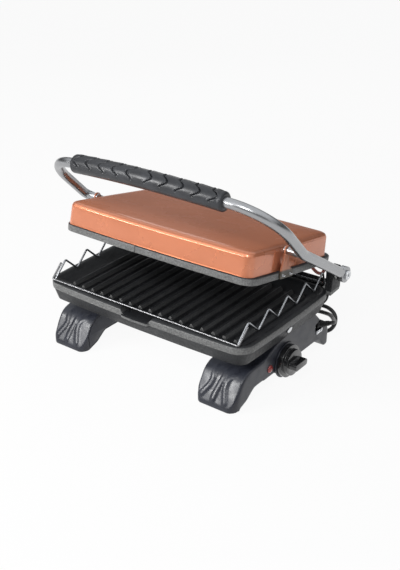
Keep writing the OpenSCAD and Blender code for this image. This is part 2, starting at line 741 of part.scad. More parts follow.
module thermostat_shaft() color([0.72, 0.73, 0.75]) difference() {
    along_x(stat_x1 - 11, knob_y, knob_z) cylinder(h = leg_wall + 24, d = stat_shaft_d, $fn = 32);
    translate([leg_out_x + 2, knob_y + stat_shaft_d / 2 - 1, knob_z - 5]) cube([20, 5, 10]);
}

module control_knob() color([0.07, 0.07, 0.08]) {
    bar_x0 = knob_x0 + 2 * knob_tier_h - 1;
    difference() {
        union() {
            along_x(knob_x0, knob_y, knob_z) cylinder(h = knob_tier_h, d = knob_d, $fn = 96);
            along_x(knob_x0 + knob_tier_h - eps, knob_y, knob_z)
                cylinder(h = knob_tier_h, d = knob_tier_d, $fn = 96);
            translate([bar_x0, knob_y, knob_z])
                rotate([0, 90, 0])
                    linear_extrude(knob_end_x - bar_x0)
                        polygon(round_loop([[-knob_bar.x / 2, -knob_bar.y / 2],
                            [knob_bar.x / 2, -knob_bar.y / 2],
                            [knob_bar.x / 2, knob_bar.y / 2], [-knob_bar.x / 2, knob_bar.y / 2]],
                                [4, 4, 4, 4]));
        }
        along_x(knob_x0 - 1, knob_y, knob_z) intersection() {
            cylinder(h = 14.2, d = stat_shaft_d + 2 * run, $fn = 32);
            translate([-6, -6, 0]) cube([12, 6 + stat_shaft_d / 2 - 1 + run, 20]);
        }
    }
}

module indicator_lens() color([0.85, 0.08, 0.06]) {
    along_x(leg_out_x - 5, lens_y, lens_z) cylinder(h = 5.1, d = lens_d - 3, $fn = 40);
    along_x(leg_out_x + 0.02, lens_y, lens_z) intersection() {
        cylinder(h = lens_proud, d = lens_d);
        translate([0, 0, lens_proud - lens_d * 0.62]) sphere(d = lens_d * 1.24, $fn = 64);
    }
}

module indicator_lamp() color([0.95, 0.6, 0.4])
    along_x(leg_out_x - 23.1, lens_y, lens_z) cylinder(h = 18, d = 6, $fn = 32);

module terminal_block() color([0.85, 0.85, 0.8]) difference() {
    translate([leg_out_x - leg_wall - seat - 18, 40, arch_z + leg_wall + seat]) cube([18, 36, 14]);
    for (y = [49, 58, 67])
        along_x(leg_out_x - 30, y, arch_z + leg_wall + 8) cylinder(h = 20, d = 4, $fn = 24);
}

// ---- Mains lead ----

// Places children on the strain relief's axis, with Z along the lead
module on_gland() translate(gland_base)
    rotate([0, acos(relief_axis.z / relief_l), atan2(relief_axis.y, relief_axis.x)]) children();

// The opening in the leg's side where the lead comes out, and the seat of its clamp
module gland_pocket() {
    on_gland() translate([0, 0, -1]) cylinder(h = relief_l, d = relief_base_d + 1.5);
    translate([leg_out_x - leg_wall - 1, clamp_y.x - 1, clamp_z + 3]) cube([leg_wall + 2, 16, 13]);
    for (y = clamp_y + [4, -4])
        along_x(leg_out_x - leg_wall - 1, y, clamp_z) cylinder(h = leg_wall + 2, d = 2.6, $fn = 24);
}

module cord_clamp() color([0.8, 0.81, 0.84])
    translate([leg_out_x + 0.05, clamp_y.x, clamp_z - 3]) difference() {
        cube([1.5, clamp_y.y - clamp_y.x, 6]);
        for (y = [4, clamp_y.y - clamp_y.x - 4])
            along_x(-1, y, 3) cylinder(h = 4, d = 2.7, $fn = 24);
    }

module clamp_screws() color([0.3, 0.3, 0.32])
    for (y = clamp_y + [4, -4])
        along_x(leg_out_x - leg_wall, y, clamp_z) {
            cylinder(h = leg_wall + 1.5 + 0.06, d = 2.5, $fn = 24);
            translate([0, 0, leg_wall + 1.5 + 0.06]) cylinder(h = 1.2, d = 4.5, $fn = 24);
        }

module strain_relief() color([0.08, 0.08, 0.09])
    on_gland() {
        cylinder(h = 4, d = relief_base_d);
        cylinder(h = relief_l, d1 = relief_base_d - 2, d2 = cord_d + 1.6);
    }

module power_cord() color([0.07, 0.07, 0.08]) {
    sweep(curve(cord_route, 2), cord_d, 10);
    sweep(tail_route, cord_d, 10);
}

module cord_coil() color([0.07, 0.07, 0.08])
    translate([coil_c.x, coil_c.y, 0])
        rotate_extrude($fn = 72)
            translate([coil_out_r - 2 * cord_d, 0]) square([2 * cord_d, 2 * cord_d]);

module coil_tie() color([0.15, 0.15, 0.15])
    translate([coil_c.x + coil_d / 2, coil_c.y, 0]) difference() {
        translate([-cord_d - 1.3, -3, 0]) cube([2 * cord_d + 2.6, 6, 2 * cord_d + 1.3]);
        translate([-cord_d - 0.2, -4, -1]) cube([2 * cord_d + 0.4, 8, 2 * cord_d + 1.2]);
    }

module plug_body() color([0.09, 0.09, 0.1])
    translate(plug_at) rotate([90, 0, 0]) {
        cylinder(h = plug_tail_l, d1 = cord_d + 2, d2 = 14);
        translate([0, 0, plug_tail_l - eps]) cylinder(h = plug_l - plug_tail_l, d1 = 20, d2 = plug_d);
    }

module plug_pins() color([0.78, 0.78, 0.8])
    for (s = [-1, 1])
        translate([plug_at.x + s * plug_pin_gap / 2, plug_at.y - plug_l, plug_at.z])
            rotate([90, 0, 0]) {
                cylinder(h = plug_pin_l - 1, d = plug_pin_d, $fn = 32);
                translate([0, 0, plug_pin_l - 1])
                    cylinder(h = 1, d1 = plug_pin_d, d2 = plug_pin_d - 1.6, $fn = 32);
            }

// ---- Bail handle ----

module hinge_pins() color([0.7, 0.71, 0.74])
    for (s = [0, 1]) mirror([s, 0, 0])
        along_x(ear_in_x - 3, hinge_yz.x, hinge_yz.y) difference() {
            union() {
                cylinder(h = eye_out_x - ear_in_x + 3.1, d = hinge_pin_d);
                translate([0, 0, -1]) cylinder(h = 4 - seat, d = hinge_pin_d + 4, $fn = 6);
                translate([0, 0, eye_out_x - ear_in_x + 3.1]) cylinder(h = pin_head_h, d = pin_head_d);
            }
            translate([0, 0, eye_out_x - ear_in_x + 4.1]) cylinder(h = pin_head_h, d = 7, $fn = 6);
        }

module hinge_washers() color([0.85, 0.85, 0.83])
    for (s = [0, 1]) mirror([s, 0, 0])
        along_x(ear_out_x + seat, hinge_yz.x, hinge_yz.y) difference() {
            cylinder(h = eye_in_x - ear_out_x - 2 * seat, d = eye_d - 6);
            translate([0, 0, -1]) cylinder(h = 10, d = hinge_pin_d + 2 * run);
        }

// Crossbar centre line: a gentle bow through the two upper corners, as a function of X
bow_rise = arm_x * arm_x / 2 / crossbar_bow_r;
function crossbar(x) = let (s = bow_rise - x * x / 2 / crossbar_bow_r)
    [x, corner_yz.x + s * upper_dir.x, corner_yz.y + s * upper_dir.y];

// Centre line of one arm up to its upper corner, from a given distance above the hinge
function arm_line(start) = let (
    hinge = [arm_x, hinge_yz.x, hinge_yz.y],
    bend = [arm_x, bend_yz.x, bend_yz.y],
    top = crossbar(arm_x)
) concat([hinge + start * [0, arm_dir.x, arm_dir.y]],
    arc_at(hinge, bend, top, bend_r, 4), arc_at(bend, top, crossbar(arm_x - 80), bail_corner_r, 10));

half_bail = concat(arm_line(tube_start), [for (k = [1:5]) crossbar(150 - 25 * k)]);
bail_line = concat(half_bail, [crossbar(0)], [for (k = [len(half_bail) - 1:-1:0])
    [-half_bail[k].x, half_bail[k].y, half_bail[k].z]]);

module bail_tube() color([0.8, 0.81, 0.83]) difference() {
    sweep(bail_line, tube_d, 24, [1, 0.01, 0.01]);
    sweep(concat([bail_line[0] - 0.5 * [0, arm_dir.x, arm_dir.y]],
        [for (k = [1:len(bail_line) - 2]) bail_line[k]],
        [bail_line[len(bail_line) - 1] - 0.5 * [0, arm_dir.x, arm_dir.y]]),
            tube_d - 2 * tube_wall, 12, [1, 0.01, 0.01]);
    for (s = [0, 1]) mirror([s, 0, 0])
        along_x(arm_x - tube_d, bend_yz.x, bend_yz.y) cylinder(h = tube_d, d = pivot_pin_d + 2 * run);
}

module bail_eyes() color([0.72, 0.73, 0.76])
    for (s = [0, 1]) mirror([s, 0, 0]) difference() {
        union() {
            along_x(eye_in_x, hinge_yz.x, hinge_yz.y) cylinder(h = eye_t, d = eye_d);
            translate([arm_x, hinge_yz.x, hinge_yz.y])
                rotate([atan2(-arm_dir.x, arm_dir.y), 0, 0]) {
                    cylinder(h = tube_start - 1.5, d = eye_t - 0.8);
                    translate([0, 0, tube_start - 3.5])
                        cylinder(h = 3.5 - seat, d1 = eye_t - 1.2, d2 = tube_d - 0.6);
                    translate([0, 0, tube_start - 1]) cylinder(h = spigot_l, d = spigot_d);
                }
        }
        along_x(eye_in_x - 1, hinge_yz.x, hinge_yz.y)
            cylinder(h = eye_t + 2, d = hinge_pin_d + 2 * run);
    }

// A round body along the crossbar, drawn in at its two ends
module crossbar_body(half, d) {
    n = 24;
    stops = concat([-1], [for (k = [-10:10]) k / 10.15], [1]);
    loft([for (t = stops) let (c = crossbar(half * t), r = d / 2 * (abs(t) == 1 ? 0.88 : 1))
        [for (k = [0:n - 1]) let (a = 360 * k / n) c + r * [0, cos(a), sin(a)]]]);
}

module bail_grip() color([0.13, 0.13, 0.14]) difference() {
    crossbar_body(grip_l / 2, grip_d);
    sweep([for (k = [-12:12]) crossbar(grip_l * 0.55 * k / 12)], tube_d + 0.8, 24, [0, 0.01, 1]);
}

// The pins that carry the lid sit in the arms' bends
module lid_pivot_pins() color([0.75, 0.76, 0.79])
    for (s = [0, 1]) mirror([s, 0, 0]) {
        along_x(bracket_in_x - 2, bend_yz.x, bend_yz.y)
            cylinder(h = arm_x - bracket_in_x + 2, d = pivot_pin_d);
        along_x(bracket_in_x - 2.5, bend_yz.x, bend_yz.y) cylinder(h = 2.5 - seat, d = bush_d);
        along_x(bracket_out_x + seat, bend_yz.x, bend_yz.y)
            cylinder(h = arm_x - tube_d / 2 + 1.2 - bracket_out_x - seat, d = bush_d);
    }

// ---- Lead between lid and base ----

module lead_tube(p) sweep(p, lead_d, 10, [0, 0, 1]);

module lid_lead() color([0.78, 0.33, 0.3]) lead_tube(curve(lead_route, 2));

// A guide beside the right lug: the lead enters along the hinge axis and leaves downwards
module lead_elbow() color([0.1, 0.1, 0.11]) difference() {
    union() {
        along_x(elbow_x, hinge_yz.x, hinge_yz.y) cylinder(h = elbow_w, d = elbow_d);
        translate([elbow_x, hinge_yz.x - elbow_d / 2 + 1, elbow_low_z])
            cube([elbow_w, elbow_d - 2, hinge_yz.y - elbow_low_z]);
    }
    along_x(elbow_x - 1, hinge_yz.x, hinge_yz.y) cylinder(h = 3.6, d = lead_d + 2 * move_gap);
}

module lead_tail() color([0.78, 0.33, 0.3]) lead_tube(curve(lead_tail_route, 2));

// ---- Lid ----

module in_lid() translate([0, lid_front.x, lid_front.y]) rotate([-lid_pitch, 0, 0]) children();

function lid_ring(inset, z) = outline(lid_w, lid_d, lid_corner_r, inset, z, lid_d / 2, lid_bow);

// A rib as on the pan, hanging from the plate
module upper_rib(x, y0, y1) translate([x, y1, lid_recess + 0.5])
    rotate([90, 0, 0])
        linear_extrude(y1 - y0)
            polygon([[-rib_w / 2, 0], [rib_w / 2, 0], [1.6, -upper_rib_h], [-1.6, -upper_rib_h]]);

module upper_plate() color([0.2, 0.2, 0.21]) in_lid() {
    difference() {
        union() {
            loft([lid_ring(1.6, 0), lid_ring(0.4, 0.6), lid_ring(0, 2), lid_ring(0, lid_band_h - 1.5),
                lid_ring(1, lid_band_h - 0.3), lid_ring(2, lid_band_h)]);
            translate([front_tab_x.x, -lid_bow.y - 1, 1])
                cube([front_tab_x.y - front_tab_x.x, 8, lid_band_h - 1.5]);
        }
        loft([lid_ring(lid_rim, -eps), lid_ring(lid_rim + 2, lid_recess)]);
        loft([lid_ring(lid_top_inset + 1, lid_recess + lid_floor_t),
            lid_ring(lid_top_inset, lid_band_h + eps)]);
        for (x = post_xs, y = post_ys) translate([x, y, 0])
            cylinder(h = lid_band_h, d = screw_d + 0.6, $fn = 24);
        for (s = [0, 1]) mirror([s, 0, 0])
            for (y = bracket_screw_ys)
                along_x(lid_w / 2 - 9, y, bracket_screw_z)
                    cylinder(h = 20, d = screw_d + 2 * run, $fn = 24);
        translate([lead_x, lid_d + lid_bow.y, bracket_screw_z])
            rotate([90, 0, 0]) cylinder(h = lid_rim + 8, d = grommet_d + 2 * run);
    }
    for (k = [-(lid_rib_n - 1) / 2:(lid_rib_n - 1) / 2])
        upper_rib(k * rib_pitch, lid_rim, lid_d - lid_rim);
}

function cover_ring(inset, z) =
    outline(cover_w, cover_d, lid_corner_r + 2, inset, z, cover_front + cover_d / 2, lid_bow);

// The drawn cover's shape, set in by t all round and lowered by t at the top
module cover_body(t, z0) loft(concat([cover_ring(t, z0)], [for (p = [[0.5, 2], [1.6, cover_h - 11],
    [2.2, cover_h - 7], [3.6, cover_h - 4], [6, cover_h - 2.2], [10, cover_h - 1.3], [18, cover_h - 0.8],
    [45, cover_h - 0.3], [75, cover_h]]) cover_ring(p.x + t, lid_band_h + seat + p.y - t)]));

module lid_cover() color([0.79, 0.46, 0.33]) in_lid() {
    difference() {
        cover_body(0, lid_band_h + seat);
        cover_body(cover_wall, lid_band_h);
    }
    for (x = post_xs, y = post_ys)
        translate([x, y, post_z]) difference() {
            cylinder(h = lid_band_h + cover_h - 1.3 - post_z, d = post_d);
            translate([0, 0, -1]) cylinder(h = 14, d = screw_d + 2 * run, $fn = 24);
        }
}

module lid_cover_screws() color([0.7, 0.71, 0.73]) in_lid()
    for (x = post_xs, y = post_ys) translate([x, y, lid_recess - eps / 2]) mirror([0, 0, 1])
        screw(screw_d, 14);

// Bright tray that sends the rod's heat down into the plate
module lid_reflector() color([0.85, 0.86, 0.87]) in_lid() difference() {
    translate([0, lid_d / 2, lid_recess + lid_floor_t + seat]) {
        difference() {
            loft([tray_ring(0, 0), tray_ring(2, tray_h)]);
            loft([tray_ring(1, -eps), tray_ring(3, tray_h - 0.8)]);
        }
        difference() {
            loft([tray_ring(-2, 0), tray_ring(-2, 0.8)]);
            loft([tray_ring(0.5, -1), tray_ring(0.5, 2)]);
        }
    }
    translate([upper_rod.x / 2 - 40, lid_d / 2 - 16, lid_band_h])
        cube([tray_hole.x, tray_hole.y, 2 * tray_h]);
}

function tray_ring(inset, z) = outline(tray_w, tray_d, 12, inset, z, 0, tray_bow);

// Side view of a bracket: a foot on the plate's side, a boss round the pivot
module bracket_side() difference() {
    union() {
        polygon(round_loop([[bracket_foot_ys.x, 1], [bracket_foot_ys.y, 1],
            [bracket_foot_ys.y, lid_band_h - 1],
            [pivot_lid.x + 9, lid_band_h + 8], [pivot_lid.x + 6, pivot_lid.y - 4],
            [pivot_lid.x - 6, pivot_lid.y - 4], [bracket_foot_ys.x, lid_band_h]], [3, 3, 4, 8, 2, 2, 6]));
        translate(pivot_lid) circle(d = bush_d + 3);
    }
    translate(pivot_lid) circle(d = pivot_pin_d + 2 * run);
    for (y = bracket_screw_ys) translate([y, bracket_screw_z]) circle(d = screw_d + 0.6, $fn = 24);
}

module lid_brackets() color([0.6, 0.61, 0.64]) in_lid()
    for (s = [0, 1]) mirror([s, 0, 0]) slab(bracket_in_x, bracket_out_x) bracket_side();

module bracket_screws() color([0.75, 0.76, 0.78]) in_lid()
    for (s = [0, 1]) mirror([s, 0, 0])
        for (y = bracket_screw_ys)
            translate([bracket_out_x + eps / 2, y, bracket_screw_z]) rotate([0, 90, 0])
                screw(screw_d, bracket_screw_l);

module lead_grommet() color([0.1, 0.1, 0.1]) in_lid()
    translate([lead_x, lid_d + grommet_out, bracket_screw_z]) rotate([90, 0, 0]) difference() {
        cylinder(h = grommet_out + grommet_in, d = grommet_d);
        translate([0, 0, -1]) cylinder(h = 8, d = lead_d + 2 * move_gap);
    }

// ---- Skewer rack ----

// Corner points of one zigzag from the front wire to the back wire
function zigzag(x) = concat(
    [for (k = [0:2 * rack_teeth - 1]) [x, rack_front_y + k * tooth_pitch / 2, rack_z + (k % 2) * tooth_h]],
    [[x, rack_back_y, rack_z]]);

module rack_left_zigzag() color([0.82, 0.83, 0.85]) wire(zigzag(-rack_x), wire_d);

module rack_right_zigzag() color([0.82, 0.83, 0.85]) wire(zigzag(rack_x), wire_d);

// The front wire turns up beside the first leg of each zigzag
module rack_front_wire() color([0.82, 0.83, 0.85]) {
    x = rack_x + wire_d + seat / 2;
    y = rack_front_y - wire_d - seat / 2;
    up = [0, tooth_pitch / 2, tooth_h] * 0.86;
    wire([[-x, y, rack_z] + up, [-x, y, rack_z], [x, y, rack_z], [x, y, rack_z] + up], wire_d, 3);
}

module rack_back_wire() color([0.82, 0.83, 0.85]) {
    y = rack_back_y + wire_d + seat / 2;
    along_x(-rack_x - 1.2, y, rack_z) cylinder(h = 2 * rack_x + 2.4, d = wire_d);
}

// ---- Assembly ----

grill_pan();
lower_heating_element();
base_cover();
base_cover_screws();
left_leg();
right_leg();
left_leg_cover();
right_leg_cover();
leg_screws();
rubber_feet();
side_rivets();
thermostat_body();
thermostat_nut();
dial_ring();
indicator_lens();
indicator_lamp();
terminal_block();
cord_clamp();
clamp_screws();
strain_relief();
power_cord();
cord_coil();
coil_tie();
plug_body();
plug_pins();
hinge_pins();
hinge_washers();
lead_elbow();
lead_tail();
thermostat_shaft();
control_knob();
bail_tube();
bail_eyes();
bail_grip();
lid_pivot_pins();
lid_lead();
upper_plate();
upper_heating_element();
lid_reflector();
lid_cover();
lid_cover_screws();
lid_brackets();
bracket_screws();
lead_grommet();
rack_left_zigzag();
rack_right_zigzag();
rack_front_wire();
rack_back_wire();
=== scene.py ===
# Electric indoor grill: a ribbed pan on two bridge legs, a self-levelling lid on a bail
# handle, a skewer rack and a thermostat knob. Metres; X across the front, -Y is the front.
import math

import bmesh
import bpy
from mathutils import Matrix, Vector


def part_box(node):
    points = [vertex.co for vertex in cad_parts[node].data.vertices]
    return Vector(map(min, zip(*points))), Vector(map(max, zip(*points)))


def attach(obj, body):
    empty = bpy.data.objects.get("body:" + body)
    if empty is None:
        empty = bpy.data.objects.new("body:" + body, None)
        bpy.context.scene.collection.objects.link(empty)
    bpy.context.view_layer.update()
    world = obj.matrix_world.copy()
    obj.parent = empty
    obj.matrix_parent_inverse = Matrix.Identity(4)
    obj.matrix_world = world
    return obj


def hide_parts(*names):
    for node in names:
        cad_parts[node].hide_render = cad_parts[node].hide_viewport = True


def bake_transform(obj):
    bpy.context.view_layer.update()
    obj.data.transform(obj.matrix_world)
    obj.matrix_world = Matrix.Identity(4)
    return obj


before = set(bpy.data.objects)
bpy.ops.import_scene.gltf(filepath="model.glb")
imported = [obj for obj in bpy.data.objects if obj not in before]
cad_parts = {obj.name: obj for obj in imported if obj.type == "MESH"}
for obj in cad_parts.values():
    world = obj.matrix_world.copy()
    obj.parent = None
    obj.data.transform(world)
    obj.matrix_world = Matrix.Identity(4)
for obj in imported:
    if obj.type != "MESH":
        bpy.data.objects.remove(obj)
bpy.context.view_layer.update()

# ---- Camera, table and light ----
# The grill stands on a plain white table, seen from the front right and from above
# through a fairly long lens. The lens's shift only sets the grill in the frame.
scene = bpy.context.scene
camera_at = Vector((0.84663, -1.09394, 0.79663))
azimuth, elevation, tilt = math.radians(41.237), math.radians(29.615), math.radians(-2.37)
back = Vector((math.sin(azimuth) * math.cos(elevation),
               -math.cos(azimuth) * math.cos(elevation), math.sin(elevation)))
right = Vector((math.cos(azimuth), math.sin(azimuth), 0))
up = back.cross(right)
camera_x = right * math.cos(tilt) + up * math.sin(tilt)
camera_y = up * math.cos(tilt) - right * math.sin(tilt)
camera = bpy.data.objects.new("camera", bpy.data.cameras.new("camera"))
camera.matrix_world = Matrix.Translation(camera_at) @ Matrix(
    (camera_x, camera_y, back)).transposed().to_4x4()
camera.data.lens = 59.06
camera.data.sensor_width = 36
camera.data.shift_x = 0.1051
camera.data.shift_y = 0.092
camera.data.clip_start = 0.05
scene.collection.objects.link(camera)
scene.camera = camera
scene.view_settings.view_transform = "Standard"


class Socket:
    """One output of a node; arithmetic on it adds Math nodes to the finish's tree."""

    def __init__(self, finish, owner, output=0):
        self.finish, self.owner, self.link = finish, owner, owner.outputs[output]

    def out(self, output):
        """Another output of the same node, by its name or number."""
        return Socket(self.finish, self.owner, output)

    def math(self, operation, *others):
        numbered = dict(enumerate((self, *others)))
        return self.finish.node("Math", {"operation": operation}, numbered)

    def __add__(self, other):
        return self.math("ADD", other)

    def __sub__(self, other):
        return self.math("SUBTRACT", other)

    def __rsub__(self, other):
        return self.finish.node("Math", {"operation": "SUBTRACT"}, {0: other, 1: self})

    def __mul__(self, other):
        return self.math("MULTIPLY", other)

    __radd__ = __add__
    __rmul__ = __mul__

    def fit(self, low, high, to_low=0.0, to_high=1.0):
        """Maps low..high to to_low..to_high, smoothly and without going past either end."""
        return self.finish.node("MapRange", {"interpolation_type": "SMOOTHSTEP"},
                                {0: self, 1: low, 2: high, 3: to_low, 4: to_high})


class Finish:
    """A procedural material on a Principled shader, read from Object coordinates."""

    def __init__(self, name, **fixed):
        self.material = bpy.data.materials.new(name)
        self.material.use_nodes = True
        self.tree = self.material.node_tree
        self.tree.nodes.clear()
        unvarying = {key.replace("_", " "): value for key, value in fixed.items()}
        self.surface = self.node("BsdfPrincipled", {}, unvarying)
        self.node("OutputMaterial", {}, {"Surface": self.surface})
        self.place = self.node("TexCoord", {}, {}).out("Object")

    def node(self, kind, settings, sockets):
        """Adds a node: its settings first, then values or links for its sockets."""
        made = self.tree.nodes.new("ShaderNode" + kind)
        for key, value in settings.items():
            if key == "stops":
                ramp = made.color_ramp.elements
                while len(ramp) < len(value):
                    ramp.new(0.5)
                for element, (at, colour) in zip(ramp, value):
                    element.position, element.color = at, (*colour, 1)
            else:
                setattr(made, key, value)
        for key, value in sockets.items():
            if isinstance(value, Socket):
                self.tree.links.new(value.link, made.inputs[key])
            else:
                made.inputs[key].default_value = (*value, 1) if (
                    made.inputs[key].type == "RGBA" and len(value) == 3) else value
        return Socket(self, made) if made.outputs else None

    def noise(self, scale, detail=3.0, roughness=0.5, stretch=(1, 1, 1)):
        """Noise from 0 to 1 on Object coordinates, stretched along the axes."""
        mapped = self.node("Mapping", {}, {"Vector": self.place, "Scale": stretch})
        return self.node("TexNoise", {}, {"Vector": mapped, "Scale": scale, "Detail": detail,
                                          "Roughness": roughness})

    def mix(self, factor, a, b):
        """Goes from colour a to colour b as the factor goes from 0 to 1."""
        return self.node("Mix", {"data_type": "RGBA"}, {0: factor, 6: a, 7: b}).out(2)

    def set(self, **sockets):
        """Links what changes over the surface to the shader."""
        for name, value in sockets.items():
            self.tree.links.new(value.link, self.surface.owner.inputs[name.replace("_", " ")])

    def bump(self, height, strength, distance):
        """Relief too fine to model; distance is its depth in metres."""
        relief = {"Height": height, "Strength": strength, "Distance": distance}
        self.set(Normal=self.node("Bump", {}, relief))


# The table is nearly pure white to the camera, to mirrors and to glass; the small rest is
# lit as any surface is, so that the grill keeps its shadow.
table_reach, table_glow = 4, 0.93
table = bpy.data.meshes.new("table")
table.from_pydata([(x * table_reach, y * table_reach, 0)
                   for x, y in ((-1, -1), (1, -1), (1, 1), (-1, 1))], [], [(0, 1, 2, 3)])
table_top = bpy.data.objects.new("table", table)
scene.collection.objects.link(table_top)
white_top = Finish("table_white", Base_Color=(0.9, 0.9, 0.9), Roughness=0.8)
light_path = white_top.node("LightPath", {}, {})
seen = light_path.out("Is Camera Ray").math("MAXIMUM", light_path.out("Is Glossy Ray")).math(
    "MAXIMUM", light_path.out("Is Transmission Ray"))
glow = white_top.node("Emission", {}, {"Color": (1, 1, 1), "Strength": 1.0})
blend = white_top.node("MixShader", {}, {0: seen * table_glow, 1: white_top.surface, 2: glow})
white_top.node("OutputMaterial", {"is_active_output": True}, {"Surface": blend})
table.materials.append(white_top.material)

# A band is (low, high, strength at low, strength at high) by how far upwards one looks.
# The room lights the grill most from its sides. What the camera and shiny pieces see of it
# is pale up to the horizon, dark just above it and white overhead.
lighting_bands = ((0.1, 0.75, 0.8, 0.12),)
mirrored_bands = ((-0.05, 0.06, 0.9, 0.08), (0.25, 0.65, 0.0, 1.0))
room = bpy.data.worlds.new("room")
room.use_nodes = True
scene.world = room
nodes, links = room.node_tree.nodes, room.node_tree.links
background = nodes["Background"]
way = nodes.new("ShaderNodeTexCoord")
upwards = nodes.new("ShaderNodeSeparateXYZ")
links.new(way.outputs["Generated"], upwards.inputs[0])
bright = nodes.new("ShaderNodeBackground")
for shade, bands in ((background, lighting_bands), (bright, mirrored_bands)):
    total = nodes.new("ShaderNodeMath")
    total.inputs[0].default_value = 0
    total.inputs[1].default_value = 0
    for slot, band in enumerate(bands):
        dimmer = nodes.new("ShaderNodeMapRange")
        dimmer.interpolation_type = "SMOOTHSTEP"
        for socket, value in zip(list(dimmer.inputs)[1:5], band):
            socket.default_value = value
        links.new(upwards.outputs["Z"], dimmer.inputs[0])
        links.new(dimmer.outputs[0], total.inputs[slot])
    shade.inputs["Color"].default_value = (0.96, 0.98, 1, 1)
    links.new(total.outputs[0], shade.inputs["Strength"])
path = nodes.new("ShaderNodeLightPath")
shown = path.outputs["Is Camera Ray"]
for ray in ("Is Glossy Ray", "Is Transmission Ray"):
    either = nodes.new("ShaderNodeMath")
    either.operation = "MAXIMUM"
    links.new(shown, either.inputs[0])
    links.new(path.outputs[ray], either.inputs[1])
    shown = either.outputs[0]
choose = nodes.new("ShaderNodeMixShader")
links.new(shown, choose.inputs[0])
links.new(background.outputs[0], choose.inputs[1])
links.new(bright.outputs[0], choose.inputs[2])
links.new(choose.outputs[0], nodes["World Output"].inputs["Surface"])


def softbox(name, at, aim, size, power):
    """A large area lamp that looks at a point."""
    lamp = bpy.data.lights.new(name, "AREA")
    lamp.shape, lamp.size, lamp.size_y, lamp.energy = "RECTANGLE", size[0], size[1], power
    placed = bpy.data.objects.new(name, lamp)
    facing = (Vector(at) - Vector(aim)).to_track_quat("Z", "Y").to_matrix().to_4x4()
    placed.matrix_world = Matrix.Translation(at) @ facing
    scene.collection.objects.link(placed)


softbox("key", (-1.05, -1.65, 1.0), (0, 0, 0.2), (1.2, 0.3), 36)
softbox("side", (1.9, -0.3, 0.75), (0, 0, 0.12), (0.8, 0.8), 1.2)
softbox("front", (0.5, -1.15, 1.25), (0, 0, 0.25), (0.45, 0.45), 8)
softbox("back", (-1.1, 1.45, 0.78), (0, 0, 0.2), (0.4, 0.3), 1.5)

# ---- Mains lead ----
# A round black rubber-jacketed lead, 7 mm thick. It falls from the gland in the right leg,
# lies in one loose ring behind the leg and ends in a small tied coil with a moulded plug.


def through(points, steps):
    """A smooth curve through every point, in steps from one point to the next."""
    points = [Vector(p) for p in points]
    out = []
    for i in range(len(points) - 1):
        a, b, c = points[max(i - 1, 0)], points[i], points[i + 1]
        d = points[min(i + 2, len(points) - 1)]
        for k in range(steps):
            t = k / steps
            out.append(0.5 * (2 * b + (c - a) * t + (2 * a - 5 * b + 4 * c - d) * t * t
                              + (3 * b - a - 3 * c + d) * t ** 3))
    return out + [points[-1]]


def skin(name, rings):
    """A capped mesh over rings of m points each, with a UV map along and round it."""
    m = len(rings[0])
    points = [tuple(p) for ring in rings for p in ring]
    faces = [(i * m + k, i * m + (k + 1) % m, (i + 1) * m + (k + 1) % m, (i + 1) * m + k)
             for i in range(len(rings) - 1) for k in range(m)]
    faces += [tuple(range(m - 1, -1, -1)), tuple((len(rings) - 1) * m + k for k in range(m))]
    mesh = bpy.data.meshes.new(name)
    mesh.from_pydata(points, [], faces)
    run = [0.0]
    for a, b in zip(rings, rings[1:]):
        run.append(run[-1] + (sum(b, Vector()) - sum(a, Vector())).length / m)
    uv = mesh.uv_layers.new(name="along")
    for face in mesh.polygons:
        wraps = len({v % m for v in face.vertices} & {0, m - 1}) == 2
        for corner, v in zip(face.loop_indices, face.vertices):
            k = v % m + (m if wraps and v % m == 0 else 0)
            uv.data[corner].uv = (run[v // m], k / m)
    return mesh


def circle(sides):
    """The angles of evenly spaced points on a circle."""
    return [2 * math.pi * k / sides for k in range(sides)]


def tube_rings(line, radius, sides, start=(0, 0, 1)):
    """Round sections along a line, carried along without twist from a start across it."""
    line = [Vector(p) for p in line]
    normal = Vector(start)
    rings = []
    for i, p in enumerate(line):
        along = (line[min(i + 1, len(line) - 1)] - line[max(i - 1, 0)]).normalized()
        normal = (normal - along * normal.dot(along)).normalized()
        side = along.cross(normal)
        rings.append([p + radius * (math.cos(t) * normal + math.sin(t) * side)
                      for t in circle(sides)])
    return rings


def tidy(mesh, angle=35, bevel=0.0, segments=2):
    """Merges doubles and flat faces, rounds sharp edges and shades smooth up to an angle."""
    shape = bmesh.new()
    shape.from_mesh(mesh)
    bmesh.ops.remove_doubles(shape, verts=shape.verts, dist=1e-6)
    if bevel:
        bmesh.ops.dissolve_limit(shape, angle_limit=math.radians(0.6), verts=shape.verts,
                                 edges=shape.edges)
        sharp = [edge for edge in shape.edges
                 if len(edge.link_faces) == 2 and edge.calc_face_angle(0) > math.radians(angle)]
        bmesh.ops.bevel(shape, geom=sharp, offset=bevel, segments=segments, profile=0.5,
                        affect="EDGES", clamp_overlap=True)
    for edge in shape.edges:
        edge.smooth = (len(edge.link_faces) == 2
                       and edge.calc_face_angle(0) < math.radians(angle))
    for face in shape.faces:
        face.smooth = True
    shape.to_mesh(mesh)
    shape.free()
    return mesh


def piece(name, mesh, finish, body, nodes):
    """Puts a mesh on a body, if it rides on one, with its finish, in place of CAD nodes."""
    made = bpy.data.objects.new(name, mesh)
    scene.collection.objects.link(made)
    made.data.materials.clear()
    made.data.materials.append(finish.material)
    if body:
        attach(made, body)
    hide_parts(*nodes)
    return made


def refined(node, finish, body, bevel, angle=35, segments=2):
    """A copy of a CAD node with its edges rounded and its curved faces smooth."""
    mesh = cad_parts[node].data.copy()
    mesh.name = node + "_finished"
    for layer in list(mesh.uv_layers):
        mesh.uv_layers.remove(layer)
    return piece(node + "_finished", tidy(mesh, angle, bevel, segments), finish, body,
                 [node])


